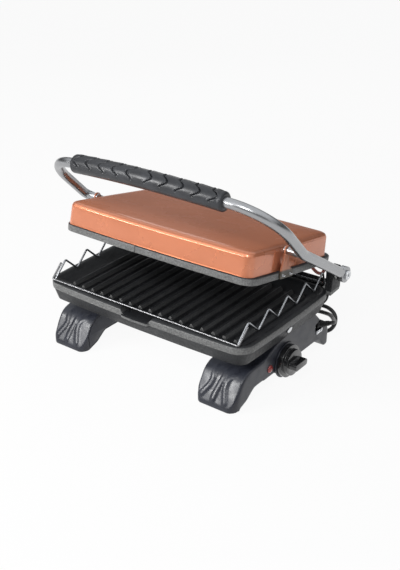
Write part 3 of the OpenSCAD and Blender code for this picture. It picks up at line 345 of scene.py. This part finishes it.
def jacket(name, colour, rough):
    """Satin rubber: fine grain, dust in patches, soft gloss."""
    made = Finish(name, Specular_IOR_Level=0.2)
    dust = made.noise(60, 4).fit(0.35, 0.75)
    made.set(Base_Color=made.mix(dust * 0.5, colour, tuple(c + 0.02 for c in colour)))
    made.set(Roughness=made.noise(180, 3).fit(0.3, 0.7, rough - 0.07, rough + 0.1))
    made.bump(made.noise(900, 2), 0.12, 0.0004)
    return made


lead_black = jacket("lead_rubber_black", (0.012, 0.012, 0.013), 0.36)
jacket_radius = 0.00349
# The route, the coil and the tail to the plug are in millimetres. Each turn of the coil is
# (radius, height), and its last quarter passes over to the next one.
lead_route = [(195, 122, 45), (196, 134, 41), (192, 147, 35), (185, 160, 28.5), (175, 175, 22),
              (164, 190, 16.5), (152, 204, 11), (138, 213, 6.5), (122, 216, 4),
              (106, 211, 3.5), (92, 200, 3.5), (83, 184, 3.5), (83, 166, 3.5), (93, 151, 3.5),
              (110, 144.5, 3.5), (130, 143.5, 3.5), (149, 146, 3.5), (164, 154, 3.5),
              (172, 168, 3.5), (171, 184, 3.5), (165, 201, 3.5), (155, 218, 3.5),
              (142, 231, 3.5), (126, 239, 3.5), (108, 238.5, 3.5), (90, 235, 3.5),
              (70, 233, 3.5), (45, 232.5, 3.5)]
coil_centre = (18, 190)
coil_turns = [(42.5, 3.5), (35.5, 3.5), (35.5, 10.5), (42.5, 10.5)]
turn_steps, quarter = 24, 6
lead_tail = [(-24.5, 190, 10.5), (-24.5, 174, 10.5), (-24.5, 160, 11.5), (-24.5, 148, 13)]
wound = []
for turn, (reach, lie) in enumerate(coil_turns):
    last = turn == len(coil_turns) - 1
    next_reach, next_lie = coil_turns[turn if last else turn + 1]
    for k in range(quarter if last else turn_steps):
        share = 0.0 if last else max(0.0, (k - (turn_steps - quarter)) / quarter)
        way_round = math.radians(90 + 360 * k / turn_steps)
        r = reach + (next_reach - reach) * share
        wound.append((coil_centre[0] + r * math.cos(way_round),
                      coil_centre[1] + r * math.sin(way_round),
                      lie + (next_lie - lie) * share))
lead_points = [(x / 1000, y / 1000, z / 1000) for x, y, z in lead_route + wound + lead_tail]
lead_line = through(lead_points, 4)
lead_length = sum((b - a).length for a, b in zip(lead_line, lead_line[1:]))
lead_mesh = tidy(skin("mains_lead", tube_rings(lead_line, jacket_radius, 16)), 60)
mains_lead = piece("mains_lead", lead_mesh, lead_black, "base",
                   ["power_cord", "cord_coil"])

# The plug is moulded in one with the lead's end; the tie is a rubber band; the strain
# relief is a ribbed tapering sleeve held in the leg.
plug_at = Vector((-0.0245, 0.148, 0.013))


def turned(name, outline, sides, at, axis):
    """A shape turned on an axis from (distance along, radius) pairs."""
    facing = Vector(axis).to_track_quat("Z", "Y").to_matrix()
    return skin(name, [[Vector(at) + facing @ Vector((r * math.cos(t), r * math.sin(t), d))
                        for t in circle(sides)] for d, r in outline])


plug_shape = [(0, 0.0042), (0.001, 0.0052), (0.003, 0.0054), (0.0034, 0.0047),
              (0.0046, 0.0047), (0.005, 0.0057), (0.0068, 0.006), (0.0072, 0.0052),
              (0.0084, 0.0052), (0.0088, 0.0066), (0.0105, 0.0085), (0.014, 0.0105),
              (0.022, 0.0118), (0.031, 0.0126), (0.0365, 0.0129), (0.0375, 0.0127),
              (0.0379, 0.0121)]
plug_mesh = tidy(turned("plug", plug_shape, 40, plug_at, (0, -1, 0)), 40)
plug = piece("plug_moulding", plug_mesh, lead_black, "base", ["plug_body"])
relief_base, relief_tip = Vector((0.184, 0.098, 0.049)), Vector((0.195, 0.122, 0.045))
relief_length = (relief_tip - relief_base).length
rib_count, rib_pitch, rib_depth = 7, 0.0031, 0.0009
relief_shape = [(0, 0.0061), (0.0038, 0.0062)]
for k in range(rib_count):
    start = 0.0045 + k * rib_pitch
    wide = 0.0054 - 0.0011 * start / relief_length
    waist = wide - rib_depth
    relief_shape += [(start, wide), (start + 0.0014, wide), (start + 0.0017, waist),
                     (start + 0.0027, waist)]
relief_shape += [(relief_length - 0.0004, 0.0043), (relief_length, 0.0039)]
relief_mesh = turned("relief", relief_shape, 28, relief_base, relief_tip - relief_base)
piece("relief_sleeve", tidy(relief_mesh, 40), lead_black, "base",
      ["strain_relief"])
tie = refined("coil_tie", lead_black, "base", 0.0008)
nickel = Finish("plug_nickel", Metallic=1.0)
nickel.set(Base_Color=nickel.mix(nickel.noise(90, 2), (0.7, 0.69, 0.66), (0.55, 0.54, 0.52)),
           Roughness=nickel.noise(260, 3).fit(0.3, 0.7, 0.18, 0.32))
pins = refined("plug_pins", nickel, "base", 0.0004)

# ---- Grill pan ----
# A thick casting with ribs from front to back, a lipped spout and a bevelled rim. It is
# sprayed with a dark non-stick coating, which is coarser and worn lighter round the rim.


def above_table(made):
    """Height over the table."""
    return made.node("SeparateXYZ", {}, {0: made.place}).out("Z")


def coated_casting(name, height_of, low, high, worn):
    """Dark sprayed coating; the band between two heights is coarser and worn lighter."""
    made = Finish(name, Specular_IOR_Level=0.3)
    height = height_of(made)
    normal = made.node("SeparateXYZ", {}, {0: made.node("NewGeometry", {}, {}).out("Normal")})
    edge = height.fit(low - 0.0004, low) * (1 - height.fit(high - 0.0012, high)) * (
        1 - normal.out("Z").fit(0.45, 0.75))
    cloud = made.noise(22, 4).fit(0.3, 0.7)
    flecks = made.noise(1300, 2).fit(0.64, 0.72)
    colour = made.mix(cloud, (0.012, 0.0125, 0.014), (0.02, 0.021, 0.023))
    rubbed = edge * (made.noise(420, 4, 0.7).fit(0.3, 0.75, 0.35, 1.0) * worn)
    colour = made.mix(rubbed, colour, (0.26, 0.26, 0.255))
    colour = made.mix(flecks * 0.22, colour, (0.16, 0.16, 0.17))
    made.set(Base_Color=colour)
    made.set(Roughness=made.noise(240, 3).fit(0.3, 0.7, 0.4, 0.54) - edge * 0.08)
    made.bump(made.noise(1500, 3) + edge * made.noise(500, 4), 0.35, 0.0002)
    return made


pan_coating = coated_casting("pan_coating", above_table, 0.1010, 0.1128, 0.75)
refined("grill_pan", pan_coating, "base", 0.0005, 32)


def bare_steel(name, colour, rough, grain=(1, 1, 1), drag=0.1):
    """Bare or plated steel: a cloudy colour and a fine grain, which may be drawn out."""
    made = Finish(name, Metallic=1.0)
    lines = made.noise(500, 3, stretch=grain)
    made.set(Base_Color=made.mix(made.noise(30, 3) * 0.5, colour, tuple(c * 0.72 for c in colour)))
    made.set(Roughness=lines.fit(0.25, 0.75, rough - 0.08, rough + 0.1))
    made.bump(lines, drag, 0.0002)
    return made


plated = bare_steel("plated_steel", (0.72, 0.73, 0.75), 0.24)
sheet_metal = bare_steel("sheet_steel", (0.55, 0.56, 0.57), 0.34, (1, 0.05, 1))
refined("side_rivets", plated, "base", 0.0003)
refined("base_cover", sheet_metal, "base", 0.0002)
rod_scale = bare_steel("rod_sheath", (0.16, 0.14, 0.13), 0.5)
refined("lower_heating_element", rod_scale, "base", 0)

# ---- Legs ----
# Two bridge legs moulded from a dark blue-grey heat-resistant plastic, open on the inner
# side, where a flat cover is pushed in. Ridges like a tyre's tread climb over each front foot.


def moulded(name, colour, lift, rough):
    """Fine spark-eroded grain of a moulded plastic, rubbed a little smoother in places."""
    made = Finish(name, Specular_IOR_Level=0.5)
    rubbed = made.noise(35, 4).fit(0.3, 0.7)
    made.set(Base_Color=made.mix(rubbed, colour, lift))
    made.set(Roughness=made.noise(70, 3).fit(0.3, 0.7, rough - 0.06, rough + 0.07))
    made.bump(made.noise(2200, 2), 0.08, 0.0002)
    return made


leg_plastic = moulded("leg_plastic", (0.014, 0.0155, 0.023), (0.021, 0.0235, 0.034), 0.35)


def evaluated(carrier):
    """A plain mesh of an object as its modifiers leave it."""
    return bpy.data.meshes.new_from_object(
        carrier.evaluated_get(bpy.context.evaluated_depsgraph_get()))


def softened(node, finish, body, stays, voxel=0.0015, few=4, many=22, kept=0.7):
    """A copy of a CAD node with its edges moulded round by many passes, but by few where
    stays(point, normal); then the kept share of its triangles is left."""
    merged = tidy(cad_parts[node].data.copy())
    for layer in list(merged.uv_layers):
        merged.uv_layers.remove(layer)
    carrier = bpy.data.objects.new(node + "_mould", merged)
    scene.collection.objects.link(carrier)
    remesh = carrier.modifiers.new("remesh", "REMESH")
    remesh.mode, remesh.voxel_size = "VOXEL", voxel
    drawn = evaluated(carrier)
    shape = bmesh.new()
    shape.from_mesh(drawn)
    soft = [v for v in shape.verts if not stays(v.co, v.normal)]
    for k in range(many):
        bmesh.ops.smooth_vert(shape, verts=shape.verts if k < few else soft, factor=0.5,
                              use_axis_x=True, use_axis_y=True, use_axis_z=True)
    for face in shape.faces:
        face.smooth = True
    shape.to_mesh(drawn)
    shape.free()
    carrier.modifiers.clear()
    carrier.data = drawn
    thin = carrier.modifiers.new("thin", "DECIMATE")
    thin.ratio = kept
    light = evaluated(carrier)
    bpy.data.objects.remove(carrier)
    return piece(node + "_moulding", light, finish, body, [node])


def tread_zone(point, normal):
    """A leg keeps its shape on the tread, sole, inner edge, outer openings and rear foot."""
    across = abs(point.x)
    tread = point.y < -0.09 and 0.119 < across < 0.186 and normal.y < -0.15
    sole, inner_edge, rear_foot = point.z < 0.0025, across < 0.1175, point.y > 0.07
    openings = across > 0.187 and 0.012 < point.z < 0.072 and point.y > -0.06
    return tread or sole or inner_edge or openings or rear_foot


for side in ("left", "right"):
    softened(side + "_leg", leg_plastic, "base", tread_zone)
    refined(side + "_leg_cover", leg_plastic, "base", 0.0005)
foot_rubber = jacket("foot_rubber", (0.02, 0.02, 0.021), 0.6)
refined("rubber_feet", foot_rubber, "base", 0.0008)

# ---- Controls and gland ----
# A glossy black two-tier knob with a bar grip turns in a dial ring on the right leg's outer
# side, with a red neon lens ahead of it and a plated clamp for the mains lead behind it. The
# thermostat, held by its nut, and a pale terminal block are inside the leg.
knob_gloss = Finish("knob_gloss", Coat_Weight=0.6, Coat_Roughness=0.08)
knob_gloss.set(Base_Color=knob_gloss.mix(
    knob_gloss.noise(50, 3), (0.006, 0.006, 0.007), (0.011, 0.011, 0.012)))
knob_gloss.set(Roughness=knob_gloss.noise(120, 4).fit(0.35, 0.75, 0.16, 0.28))
knob_gloss.bump(knob_gloss.noise(500, 2), 0.05, 0.0002)
refined("control_knob", knob_gloss, "knob", 0.0012, 30, 3)
refined("thermostat_shaft", plated, "knob", 0.0002)
refined("dial_ring", leg_plastic, "base", 0.0006)
refined("thermostat_nut", plated, "base", 0.0002)
pale_moulding = moulded("pale_moulding", (0.7, 0.68, 0.6), (0.75, 0.73, 0.66), 0.4)
for node in ("thermostat_body", "terminal_block"):
    refined(node, pale_moulding, "base", 0.0006)
lens_red = Finish("lens_red", Coat_Weight=0.7, Coat_Roughness=0.05, Subsurface_Weight=0.25)
lens_red.set(Base_Color=lens_red.mix(
    lens_red.noise(300, 2), (0.34, 0.02, 0.018), (0.2, 0.012, 0.012)))
lens_red.set(Roughness=lens_red.noise(600, 2).fit(0.3, 0.7, 0.1, 0.22))
refined("indicator_lens", lens_red, "base", 0.0004)
lamp_glow = Finish("lamp_glow")
lamp_glow.set(Base_Color=lamp_glow.mix(
    lamp_glow.noise(300, 2), (0.85, 0.45, 0.25), (0.9, 0.6, 0.4)))
refined("indicator_lamp", lamp_glow, "base", 0.0004)
refined("cord_clamp", plated, "base", 0.0004)

# ---- Bail handle ----
# One length of aluminium tube, 16 mm across, bent to a bail and satin anodised. Each end is
# pressed onto a cast eye that turns on a socket-headed pin through the pan's lug.
anodised = Finish("satin_anodised", Metallic=1.0)
anodised.set(Base_Color=anodised.mix(
    anodised.noise(30, 3), (0.34, 0.345, 0.355), (0.4, 0.405, 0.415)))
anodised.set(Roughness=anodised.noise(160, 2, stretch=(0.1, 1, 1)).fit(0.3, 0.7, 0.27, 0.32))

# The hinge, the arm's bend and the corner to the crossbar are (y, z) places.
hinge, bend, corner = (0.120, 0.1414), (-0.008, 0.2225), (-0.0925, 0.309)
arm_x, tube_radius, eye_reach = 0.2157, 0.008, 0.0142
arm_bend, corner_bend, corner_run, bow_radius = 0.08, 0.072, 0.08, 1.2
upper = Vector((0, corner[0] - bend[0], corner[1] - bend[1])).normalized()


def crossbar(x):
    """The crossbar's centre line, gently bowed, at a place across the grill."""
    rise = (arm_x * arm_x - x * x) / 2 / bow_radius
    return Vector((x, corner[0] + rise * upper.y, corner[1] + rise * upper.z))


def rounded(a, b, c, radius, steps):
    """Points of the arc that rounds the corner b between a and c."""
    a, b, c = Vector(a), Vector(b), Vector(c)
    u, v = (a - b).normalized(), (c - b).normalized()
    half = u.angle(v) / 2
    centre = b + (u + v).normalized() * radius / math.sin(half)
    first = b + u * radius / math.tan(half) - centre
    last = b + v * radius / math.tan(half) - centre
    wide = math.pi - 2 * half
    return [centre + (math.sin((1 - k / steps) * wide) * first
                      + math.sin(k / steps * wide) * last) / math.sin(wide)
            for k in range(steps + 1)]


hinge_point, bend_point = Vector((arm_x, *hinge)), Vector((arm_x, *bend))
arm = (bend_point - hinge_point).normalized()
half_line = [hinge_point + arm * eye_reach]
half_line += rounded(hinge_point, bend_point, crossbar(arm_x), arm_bend, 8)
half_line += rounded(bend_point, crossbar(arm_x), crossbar(arm_x - corner_run), corner_bend, 28)
half_line += [crossbar(0.15 - 0.025 * k) for k in range(1, 6)]
bail_line = half_line + [crossbar(0)] + [Vector((-p.x, p.y, p.z)) for p in reversed(half_line)]
bail_mesh = skin("bail", tube_rings(bail_line, tube_radius, 40, (1, 0.01, 0.01)))
piece("bail_tubing", tidy(bail_mesh, 40), anodised, "bail", ["bail_tube"])
refined("bail_eyes", anodised, "bail", 0.0008, 32, 3)
refined("hinge_pins", plated, "base", 0.0006)
washer_white = moulded("washer_pale", (0.6, 0.6, 0.58), (0.66, 0.66, 0.64), 0.4)
refined("hinge_washers", washer_white, "base", 0.0004)
refined("lid_pivot_pins", anodised, "bail", 0.0008)

# A soft rubber sleeve on the crossbar. Pads like a tyre's tread swell on its upper front
# side, each ending in a C-shaped groove, and its ends are rounded.
grip_half, grip_radius, grip_sides = 0.143, 0.0147, 112
pad_pitch, tread_half, tread_middle, tread_below, tread_above = 0.028, 0.137, 136, 45, 80
grip_rubber = Finish("grip_rubber", Specular_IOR_Level=0.5)
worn = grip_rubber.noise(45, 4).fit(0.35, 0.7)
grip_rubber.set(Base_Color=grip_rubber.mix(worn, (0.014, 0.015, 0.018), (0.026, 0.028, 0.033)))
grip_rubber.set(Roughness=grip_rubber.noise(90, 3).fit(0.3, 0.7, 0.34, 0.44))
grip_rubber.bump(grip_rubber.noise(1600, 3), 0.3, 0.0002)


def pad_height(x, angle):
    """How far the tread stands out; angle 0 is straight back, 90 degrees straight up."""
    turn = math.degrees(angle) - tread_middle
    reach = abs(turn) / (tread_below if turn > 0 else tread_above)
    if reach > 1 or abs(x) > tread_half:
        return 0.0
    curl = 0.011 * min(1.0, (abs(turn) / 32) ** 1.7)
    place = (abs(x) + curl + 0.004) / pad_pitch
    run = place - math.floor(place)
    step = run if run < 0.5 else run - 1
    swell = 0.0011 * (1 - run) ** 0.7 - 0.0003
    groove = 0.0028 * math.exp(-(step / 0.045) ** 2)
    lip = 0.0008 * math.exp(-((step + 0.1) / 0.035) ** 2)
    fade = min(1.0, (1 - reach) / 0.15) * min(1.0, (tread_half - abs(x)) / 0.004)
    return (swell - groove + lip) * fade


# How much narrower the sleeve is near its ends, by the share of its half length.
end_rounding = {1: 0.0042, 0.9992: 0.0031, 0.997: 0.0021, 0.993: 0.0012, 0.988: 0.0005,
                0.98: 0.0001}
grip_stops = [*(-t for t in end_rounding), *(k / 150 for k in range(-146, 147)),
              *reversed(end_rounding)]
grip_rings = []
for t in grip_stops:
    x, ring = grip_half * t, []
    for angle in circle(grip_sides):
        r = grip_radius - end_rounding.get(abs(t), 0) + pad_height(x, angle)
        ring.append(crossbar(x) + Vector((0, r * math.cos(angle), r * math.sin(angle))))
    grip_rings.append(ring)
piece("grip_sleeve", tidy(skin("grip", grip_rings), 60), grip_rubber, "bail",
      ["bail_grip"])

# ---- Screws ----
# Plated pan-head screws with a cross recess. They hold the legs and the sheet cover under the
# pan, and the copper cover and the two brackets on the upper plate.
screws = bpy.data.node_groups.new("pan_head_screws", "GeometryNodeTree")
screw_inputs = {}
for label, kind in (("Places", "NodeSocketGeometry"), ("Head Radius", "NodeSocketFloat"),
                    ("Head Height", "NodeSocketFloat"), ("Shank Radius", "NodeSocketFloat"),
                    ("Shank Length", "NodeSocketFloat"), ("Plating", "NodeSocketMaterial")):
    added = screws.interface.new_socket(label, in_out="INPUT", socket_type=kind)
    screw_inputs[label] = added.identifier
screws.interface.new_socket("Screws", in_out="OUTPUT", socket_type="NodeSocketGeometry")
given = screws.nodes.new("NodeGroupInput")


def screw_node(kind, settings=(), **sockets):
    """Adds a node to the screws' tree; values or other nodes' outputs go to its sockets."""
    made = screws.nodes.new(kind)
    for key, value in dict(settings).items():
        setattr(made, key, value)
    for key, value in sockets.items():
        socket = made.inputs[key.replace("_", " ")]
        if isinstance(value, bpy.types.NodeSocket):
            screws.links.new(value, socket)
        else:
            socket.default_value = value
    return made


def reckoned(operation, a, b):
    """Adds a sum on two values or outputs to the screws' tree."""
    made = screws.nodes.new("ShaderNodeMath")
    made.operation = operation
    for socket, value in zip(made.inputs, (a, b)):
        if isinstance(value, bpy.types.NodeSocket):
            screws.links.new(value, socket)
        else:
            socket.default_value = value
    return made.outputs[0]


head_radius, head_height = given.outputs["Head Radius"], given.outputs["Head Height"]
head_taper, slot_length, slot_width, slot_depth, shank_overlap = 0.66, 1.1, 0.0009, 1.2, 0.0003
head = screw_node("GeometryNodeMeshCone", Vertices=32, Radius_Bottom=head_radius,
                  Radius_Top=reckoned("MULTIPLY", head_radius, head_taper), Depth=head_height)
recess = screw_node("GeometryNodeJoinGeometry")
for turned_by in (0, math.pi / 2):
    size = screw_node("ShaderNodeCombineXYZ", X=reckoned("MULTIPLY", head_radius, slot_length),
                      Y=slot_width, Z=reckoned("MULTIPLY", head_height, slot_depth))
    slot_box = screw_node("GeometryNodeMeshCube", Size=size.outputs[0])
    lifted = screw_node("ShaderNodeCombineXYZ", Z=head_height)
    placed = screw_node("GeometryNodeTransform", Geometry=slot_box.outputs[0],
                        Translation=lifted.outputs[0], Rotation=(0, 0, turned_by))
    screws.links.new(placed.outputs[0], recess.inputs[0])
# Known fault: the recess's two boxes overlap, which this node's solver can't cut. It drops
# the head and leaves an open, cross-shaped scrap 0.7 mm beyond the end of the shank.
cut = screw_node("GeometryNodeMeshBoolean", {"operation": "DIFFERENCE"},
                 Mesh_1=head.outputs[0], Mesh_2=recess.outputs[0])
shank_radius, shank_length = given.outputs["Shank Radius"], given.outputs["Shank Length"]
shank = screw_node("GeometryNodeMeshCone", Vertices=20, Radius_Bottom=shank_radius,
                   Radius_Top=shank_radius, Depth=shank_length)
sunk = screw_node("ShaderNodeCombineXYZ", Z=reckoned("SUBTRACT", shank_overlap, shank_length))
lowered = screw_node("GeometryNodeTransform", Geometry=shank.outputs[0],
                     Translation=sunk.outputs[0])
whole = screw_node("GeometryNodeJoinGeometry")
for part in (cut, lowered):
    screws.links.new(part.outputs[0], whole.inputs[0])
outward_axis = screw_node("GeometryNodeInputNamedAttribute", {"data_type": "FLOAT_VECTOR"},
                          Name="axis")
facing_out = screw_node("FunctionNodeAlignRotationToVector", {"axis": "Z"},
                        Vector=outward_axis.outputs[0])
spread = screw_node("GeometryNodeInstanceOnPoints", Points=given.outputs["Places"],
                    Instance=whole.outputs[0], Rotation=facing_out.outputs[0])
solid = screw_node("GeometryNodeRealizeInstances", Geometry=spread.outputs[0])
plating = screw_node("GeometryNodeSetMaterial", Geometry=solid.outputs[0],
                     Material=given.outputs["Plating"])
screws.links.new(plating.outputs[0], screws.nodes.new("NodeGroupOutput").inputs[0])


def screw_set(node, body, places, length):
    """Screws at (place, direction) pairs, standing for one CAD node."""
    points = bpy.data.meshes.new(node + "_places")
    points.from_pydata([tuple(at) for at, _ in places], [], [])
    axis = points.attributes.new("axis", "FLOAT_VECTOR", "POINT")
    for i, (_, out) in enumerate(places):
        axis.data[i].vector = out
    carrier = bpy.data.objects.new(node + "_set", points)
    scene.collection.objects.link(carrier)
    modifier = carrier.modifiers.new("screws", "NODES")
    modifier.node_group = screws
    for label, value in (("Head Radius", screw_head[0]), ("Head Height", screw_head[1]),
                         ("Shank Radius", screw_shank), ("Shank Length", length),
                         ("Plating", plated.material)):
        modifier[screw_inputs[label]] = value
    drawn = evaluated(carrier)
    bpy.data.objects.remove(carrier)
    return piece(node + "_plated", tidy(drawn, 35, 0.0002), plated, body, [node])


down = Vector((0, 0, -1))
screw_head, screw_shank = (0.004, 0.0025), 0.002
for node, x, rows, length in (("base_cover_screws", 0.06, (-0.052, 0.04), 0.009),
                              ("leg_screws", 0.155, (0.02, 0.074), 0.012)):
    under_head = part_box(node)[0][2] + screw_head[1]
    screw_set(node, "base", [((s * x, y, under_head), down) for s in (-1, 1) for y in rows],
              length)
refined("clamp_screws", plated, "base", 0.0003)

# ---- Lid ----
# The upper plate is a casting like the pan, with a short tab on its front edge. It hangs by
# sheet brackets on two pins of the bail, so that it levels itself, under a drawn cover.
lid_at, lid_lean = Vector((0, -0.098, 0.1955)), math.radians(-11.4)
in_lid = Matrix.Translation(lid_at) @ Matrix.Rotation(lid_lean, 4, "X")
lid_up = in_lid.to_3x3() @ Vector((0, 0, 1))


def above_plate(made):
    """Height over the upper plate's ribs, with the lid at rest."""
    at = made.node("SeparateXYZ", {}, {0: made.place})
    return at.out("Z") * lid_up.z + at.out("Y") * lid_up.y - lid_up.dot(lid_at)


plate_coating = coated_casting("plate_coating", above_plate, 0.0, 0.0125, 0.8)
refined("upper_plate", plate_coating, "lid", 0.0006, 32)
refined("upper_heating_element", rod_scale, "lid", 0)
refined("lid_reflector", sheet_metal, "lid", 0.0002)
screw_set("lid_cover_screws", "lid",
          [(in_lid @ Vector((s * 0.13325, y, 0.00598)), in_lid.to_3x3() @ down)
           for s in (-1, 1) for y in (0.028, 0.206)], 0.014)
screw_set("bracket_screws", "lid",
          [(in_lid @ Vector((s * 0.18962, y, 0.006)), Vector((s, 0, 0)))
           for s in (-1, 1) for y in (0.0799, 0.0999)], 0.01)

# The cover is one sheet, drawn deep with a rounded shoulder and a slightly crowned top. Its
# copper-coloured coat is glossy and slightly metallic on the sides and plain on the top.
copper = Finish("copper_coat", Coat_Roughness=0.07, Specular_IOR_Level=0.02)
side_only = above_plate(copper).fit(0.0475, 0.0493, 1, 0)
copper.set(Base_Color=copper.mix(
    copper.noise(9, 3).fit(0.2, 0.8), (0.58, 0.205, 0.106), (0.62, 0.224, 0.12)))
copper.set(Roughness=copper.noise(14, 4).fit(0.3, 0.7, 0.24, 0.3), Metallic=side_only * 0.4)
copper.set(Coat_Weight=copper.noise(25, 2).fit(0.3, 0.7, 0.7, 0.85) * side_only)
copper.bump(copper.noise(900, 2), 0.02, 0.0002)

# The brackets are bent sheet, copper-coloured above, with painted shade darkening the foot and
# rear.
bracket_coat = Finish("bracket_coat", Specular_IOR_Level=0.4)
# Painted shade: the colour darkens towards the rear and down to the foot.
rear_shade = bracket_coat.node("SeparateXYZ", {}, {0: bracket_coat.place}).out("Y").fit(-0.006, 0.006)
painted_shade = rear_shade.math("MAXIMUM", above_plate(bracket_coat).fit(0.012, 0.016, 1, 0))
bracket_coat.set(Base_Color=bracket_coat.mix(painted_shade, (0.5, 0.185, 0.1), (0.05, 0.042, 0.03)))
bracket_coat.set(Roughness=bracket_coat.noise(60, 3).fit(0.3, 0.7, 0.3, 0.42))
bracket_coat.bump(bracket_coat.noise(1100, 2), 0.06, 0.0003)
refined("lid_brackets", bracket_coat, "lid", 0.0005)


cover_width, cover_depth, cover_middle, cover_sheet = 0.36, 0.228, 0.1155, 0.0012
corner_radius, least_radius, side_bow, front_bow, corner_steps = 0.013, 0.007, 0.002, 0.005, 12


def bowed_ring(inset, height):
    """The cover's outline in the lid's own frame, set in and lifted; its sides bow outwards."""
    radius = max(corner_radius - 0.35 * inset, least_radius)
    x, y = cover_width / 2 - inset - radius, cover_depth / 2 - inset - radius
    corners = ((x, -y), (x, y), (-x, y), (-x, -y))
    ring = []
    for turn, (cx, cy) in enumerate(corners):
        for k in range(corner_steps + 1):
            a = math.radians(90 * (turn - 1) + 90 * k / corner_steps)
            ring.append((cx + radius * math.cos(a), cy + radius * math.sin(a)))
        next_x, next_y = corners[(turn + 1) % 4]
        a = math.radians(90 * turn)
        for k in range(1, corner_steps):
            ring.append((cx + (next_x - cx) * k / corner_steps + radius * math.cos(a),
                         cy + (next_y - cy) * k / corner_steps + radius * math.sin(a)))
    points = []
    for px, py in ring:
        along_x, along_y = 2 * px / cover_width, 2 * py / cover_depth
        out_x = math.copysign(side_bow, px) * max(0, 1 - along_y ** 2) * abs(along_x) ** 6
        out_y = math.copysign(front_bow, py) * max(0, 1 - along_x ** 2) * abs(along_y) ** 6
        points.append(in_lid @ Vector((px + out_x, cover_middle + py + out_y, height)))
    return points


# From the cover's lower edge up over the shoulder to the middle of its top: (inset, height).
cover_section = ((0, 0.0121), (0.0005, 0.0141), (0.0016, 0.0391), (0.0022, 0.0431),
                 (0.0036, 0.0461), (0.006, 0.0479), (0.01, 0.0488), (0.018, 0.0493),
                 (0.045, 0.0498), (0.075, 0.0501), (0.102, 0.0501))
cover_shape = through([(inset, 0, height) for inset, height in cover_section], 4)
outside = [bowed_ring(p.x, p.z) for p in cover_shape]
inside = []
for p in reversed(cover_shape):
    on_top = min(1, max(0.0, (p.z - 0.036) / 0.01))
    inside.append(bowed_ring(p.x + cover_sheet, p.z - cover_sheet * on_top))
cover_mesh = tidy(skin("cover", inside + outside), 50)
piece("copper_cover", cover_mesh, copper, "lid", ["lid_cover"])

# ---- Lid lead ----
# A limp salmon silicone lead. It leaves the plate through a grommet, sags and enters a
# guide along the hinge's own line. Below the guide it runs in a black sleeve into the leg.
silicone = jacket("lead_silicone", (0.62, 0.2, 0.16), 0.42)
silicone_radius = 0.00272
lid_route = [(0.112, 0.1414, 0.1535), (0.112, 0.1464, 0.1523), (0.116, 0.1494, 0.148),
             (0.126, 0.1484, 0.138), (0.142, 0.144, 0.1269), (0.158, 0.137, 0.1219),
             (0.171, 0.13, 0.1259), (0.179, 0.123, 0.1359), (0.184, 0.12, 0.1414),
             (0.189, 0.12, 0.1414)]
lower_route = [(0.1894, 0.12, 0.1017), (0.1889, 0.121, 0.0937), (0.1854, 0.122, 0.0847),
               (0.178, 0.119, 0.075), (0.171, 0.112, 0.066), (0.168, 0.106, 0.054)]
for name, node, route, sleeve in (("lid_lead_tube", "lid_lead", lid_route, silicone),
                                  ("leg_lead_tube", "lead_tail", lower_route, lead_black)):
    line = through(route, 6)
    lead = piece(name, tidy(skin(name, tube_rings(line, silicone_radius, 20)), 60), sleeve,
                 None if node == "lid_lead" else "base", [node])
    if node == "lid_lead":
        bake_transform(lead)
    round(sum((b - a).length for a, b in zip(line, line[1:])), 3)
refined("lead_elbow", leg_plastic, "base", 0.0006)
refined("lead_grommet", foot_rubber, "lid", 0.0005)

# ---- Skewer rack ----
# Four plated wires, 3.4 mm thick, spot-welded where they meet: a zigzag over each side of
# the rim, a front wire whose ends turn up along the first teeth, and a back wire. The front
# wire has a darker copy of the chrome, painted shade that dims its highlight.
chrome = bare_steel("chrome_wire", (0.42, 0.43, 0.45), 0.24, drag=0.01)
wire_radius, wire_bend, wire_sides, rim_level = 0.0017, 0.0032, 14, 0.1156
tooth, tooth_rise, tooth_turns, zigzag_x = 0.02615, 0.025, 10, 0.1843
zigzag_front, zigzag_end = -0.125, 0.117
front_y, front_half, turned_share = -0.12845, 0.18775, 0.86


def wire(name, corners, start):
    """A wire bent through rounded corners; its first section faces start."""
    line = [Vector(corners[0])]
    for a, b, c in zip(corners, corners[1:], corners[2:]):
        line += rounded(a, b, c, wire_bend, 6)
    line.append(Vector(corners[-1]))
    return tidy(skin(name, tube_rings(line, wire_radius, wire_sides, start)), 50)


for side, s in (("left", -1), ("right", 1)):
    zigzag = [(s * zigzag_x, zigzag_front + k * tooth, rim_level + (k % 2) * tooth_rise)
              for k in range(tooth_turns)]
    zigzag.append((s * zigzag_x, zigzag_end, rim_level))
    piece("rack_" + side + "_teeth", wire("teeth", zigzag, (1, 0.01, 0.02)), chrome, "rack",
          ["rack_" + side + "_zigzag"])
# Painted shade: a darker copy of the chrome dims the front wire.
shaded_front_steel = bare_steel("front_wire_shaded_steel", (0.2, 0.2, 0.205), 0.3, drag=0.01)
turned_up = Vector((0, tooth, tooth_rise)) * turned_share
front = [Vector((s * front_half, front_y, rim_level)) for s in (-1, 1)]
front_mesh = wire("front_rail", [front[0] + turned_up, *front, front[1] + turned_up],
                  (0.1, 0.3, 1))
piece("rack_front_rail", front_mesh, shaded_front_steel, "rack", ["rack_front_wire"])
back_shape = [(0, 0.0009), (0.0004, 0.0015), (0.001, wire_radius), (0.37, wire_radius),
              (0.3706, 0.0015), (0.371, 0.0009)]
back_mesh = turned("back_rail", back_shape, 20, (-0.1855, 0.12045, rim_level), (1, 0, 0))
piece("rack_back_rail", tidy(back_mesh, 50), chrome, "rack", ["rack_back_wire"])

bpy.context.view_layer.update()
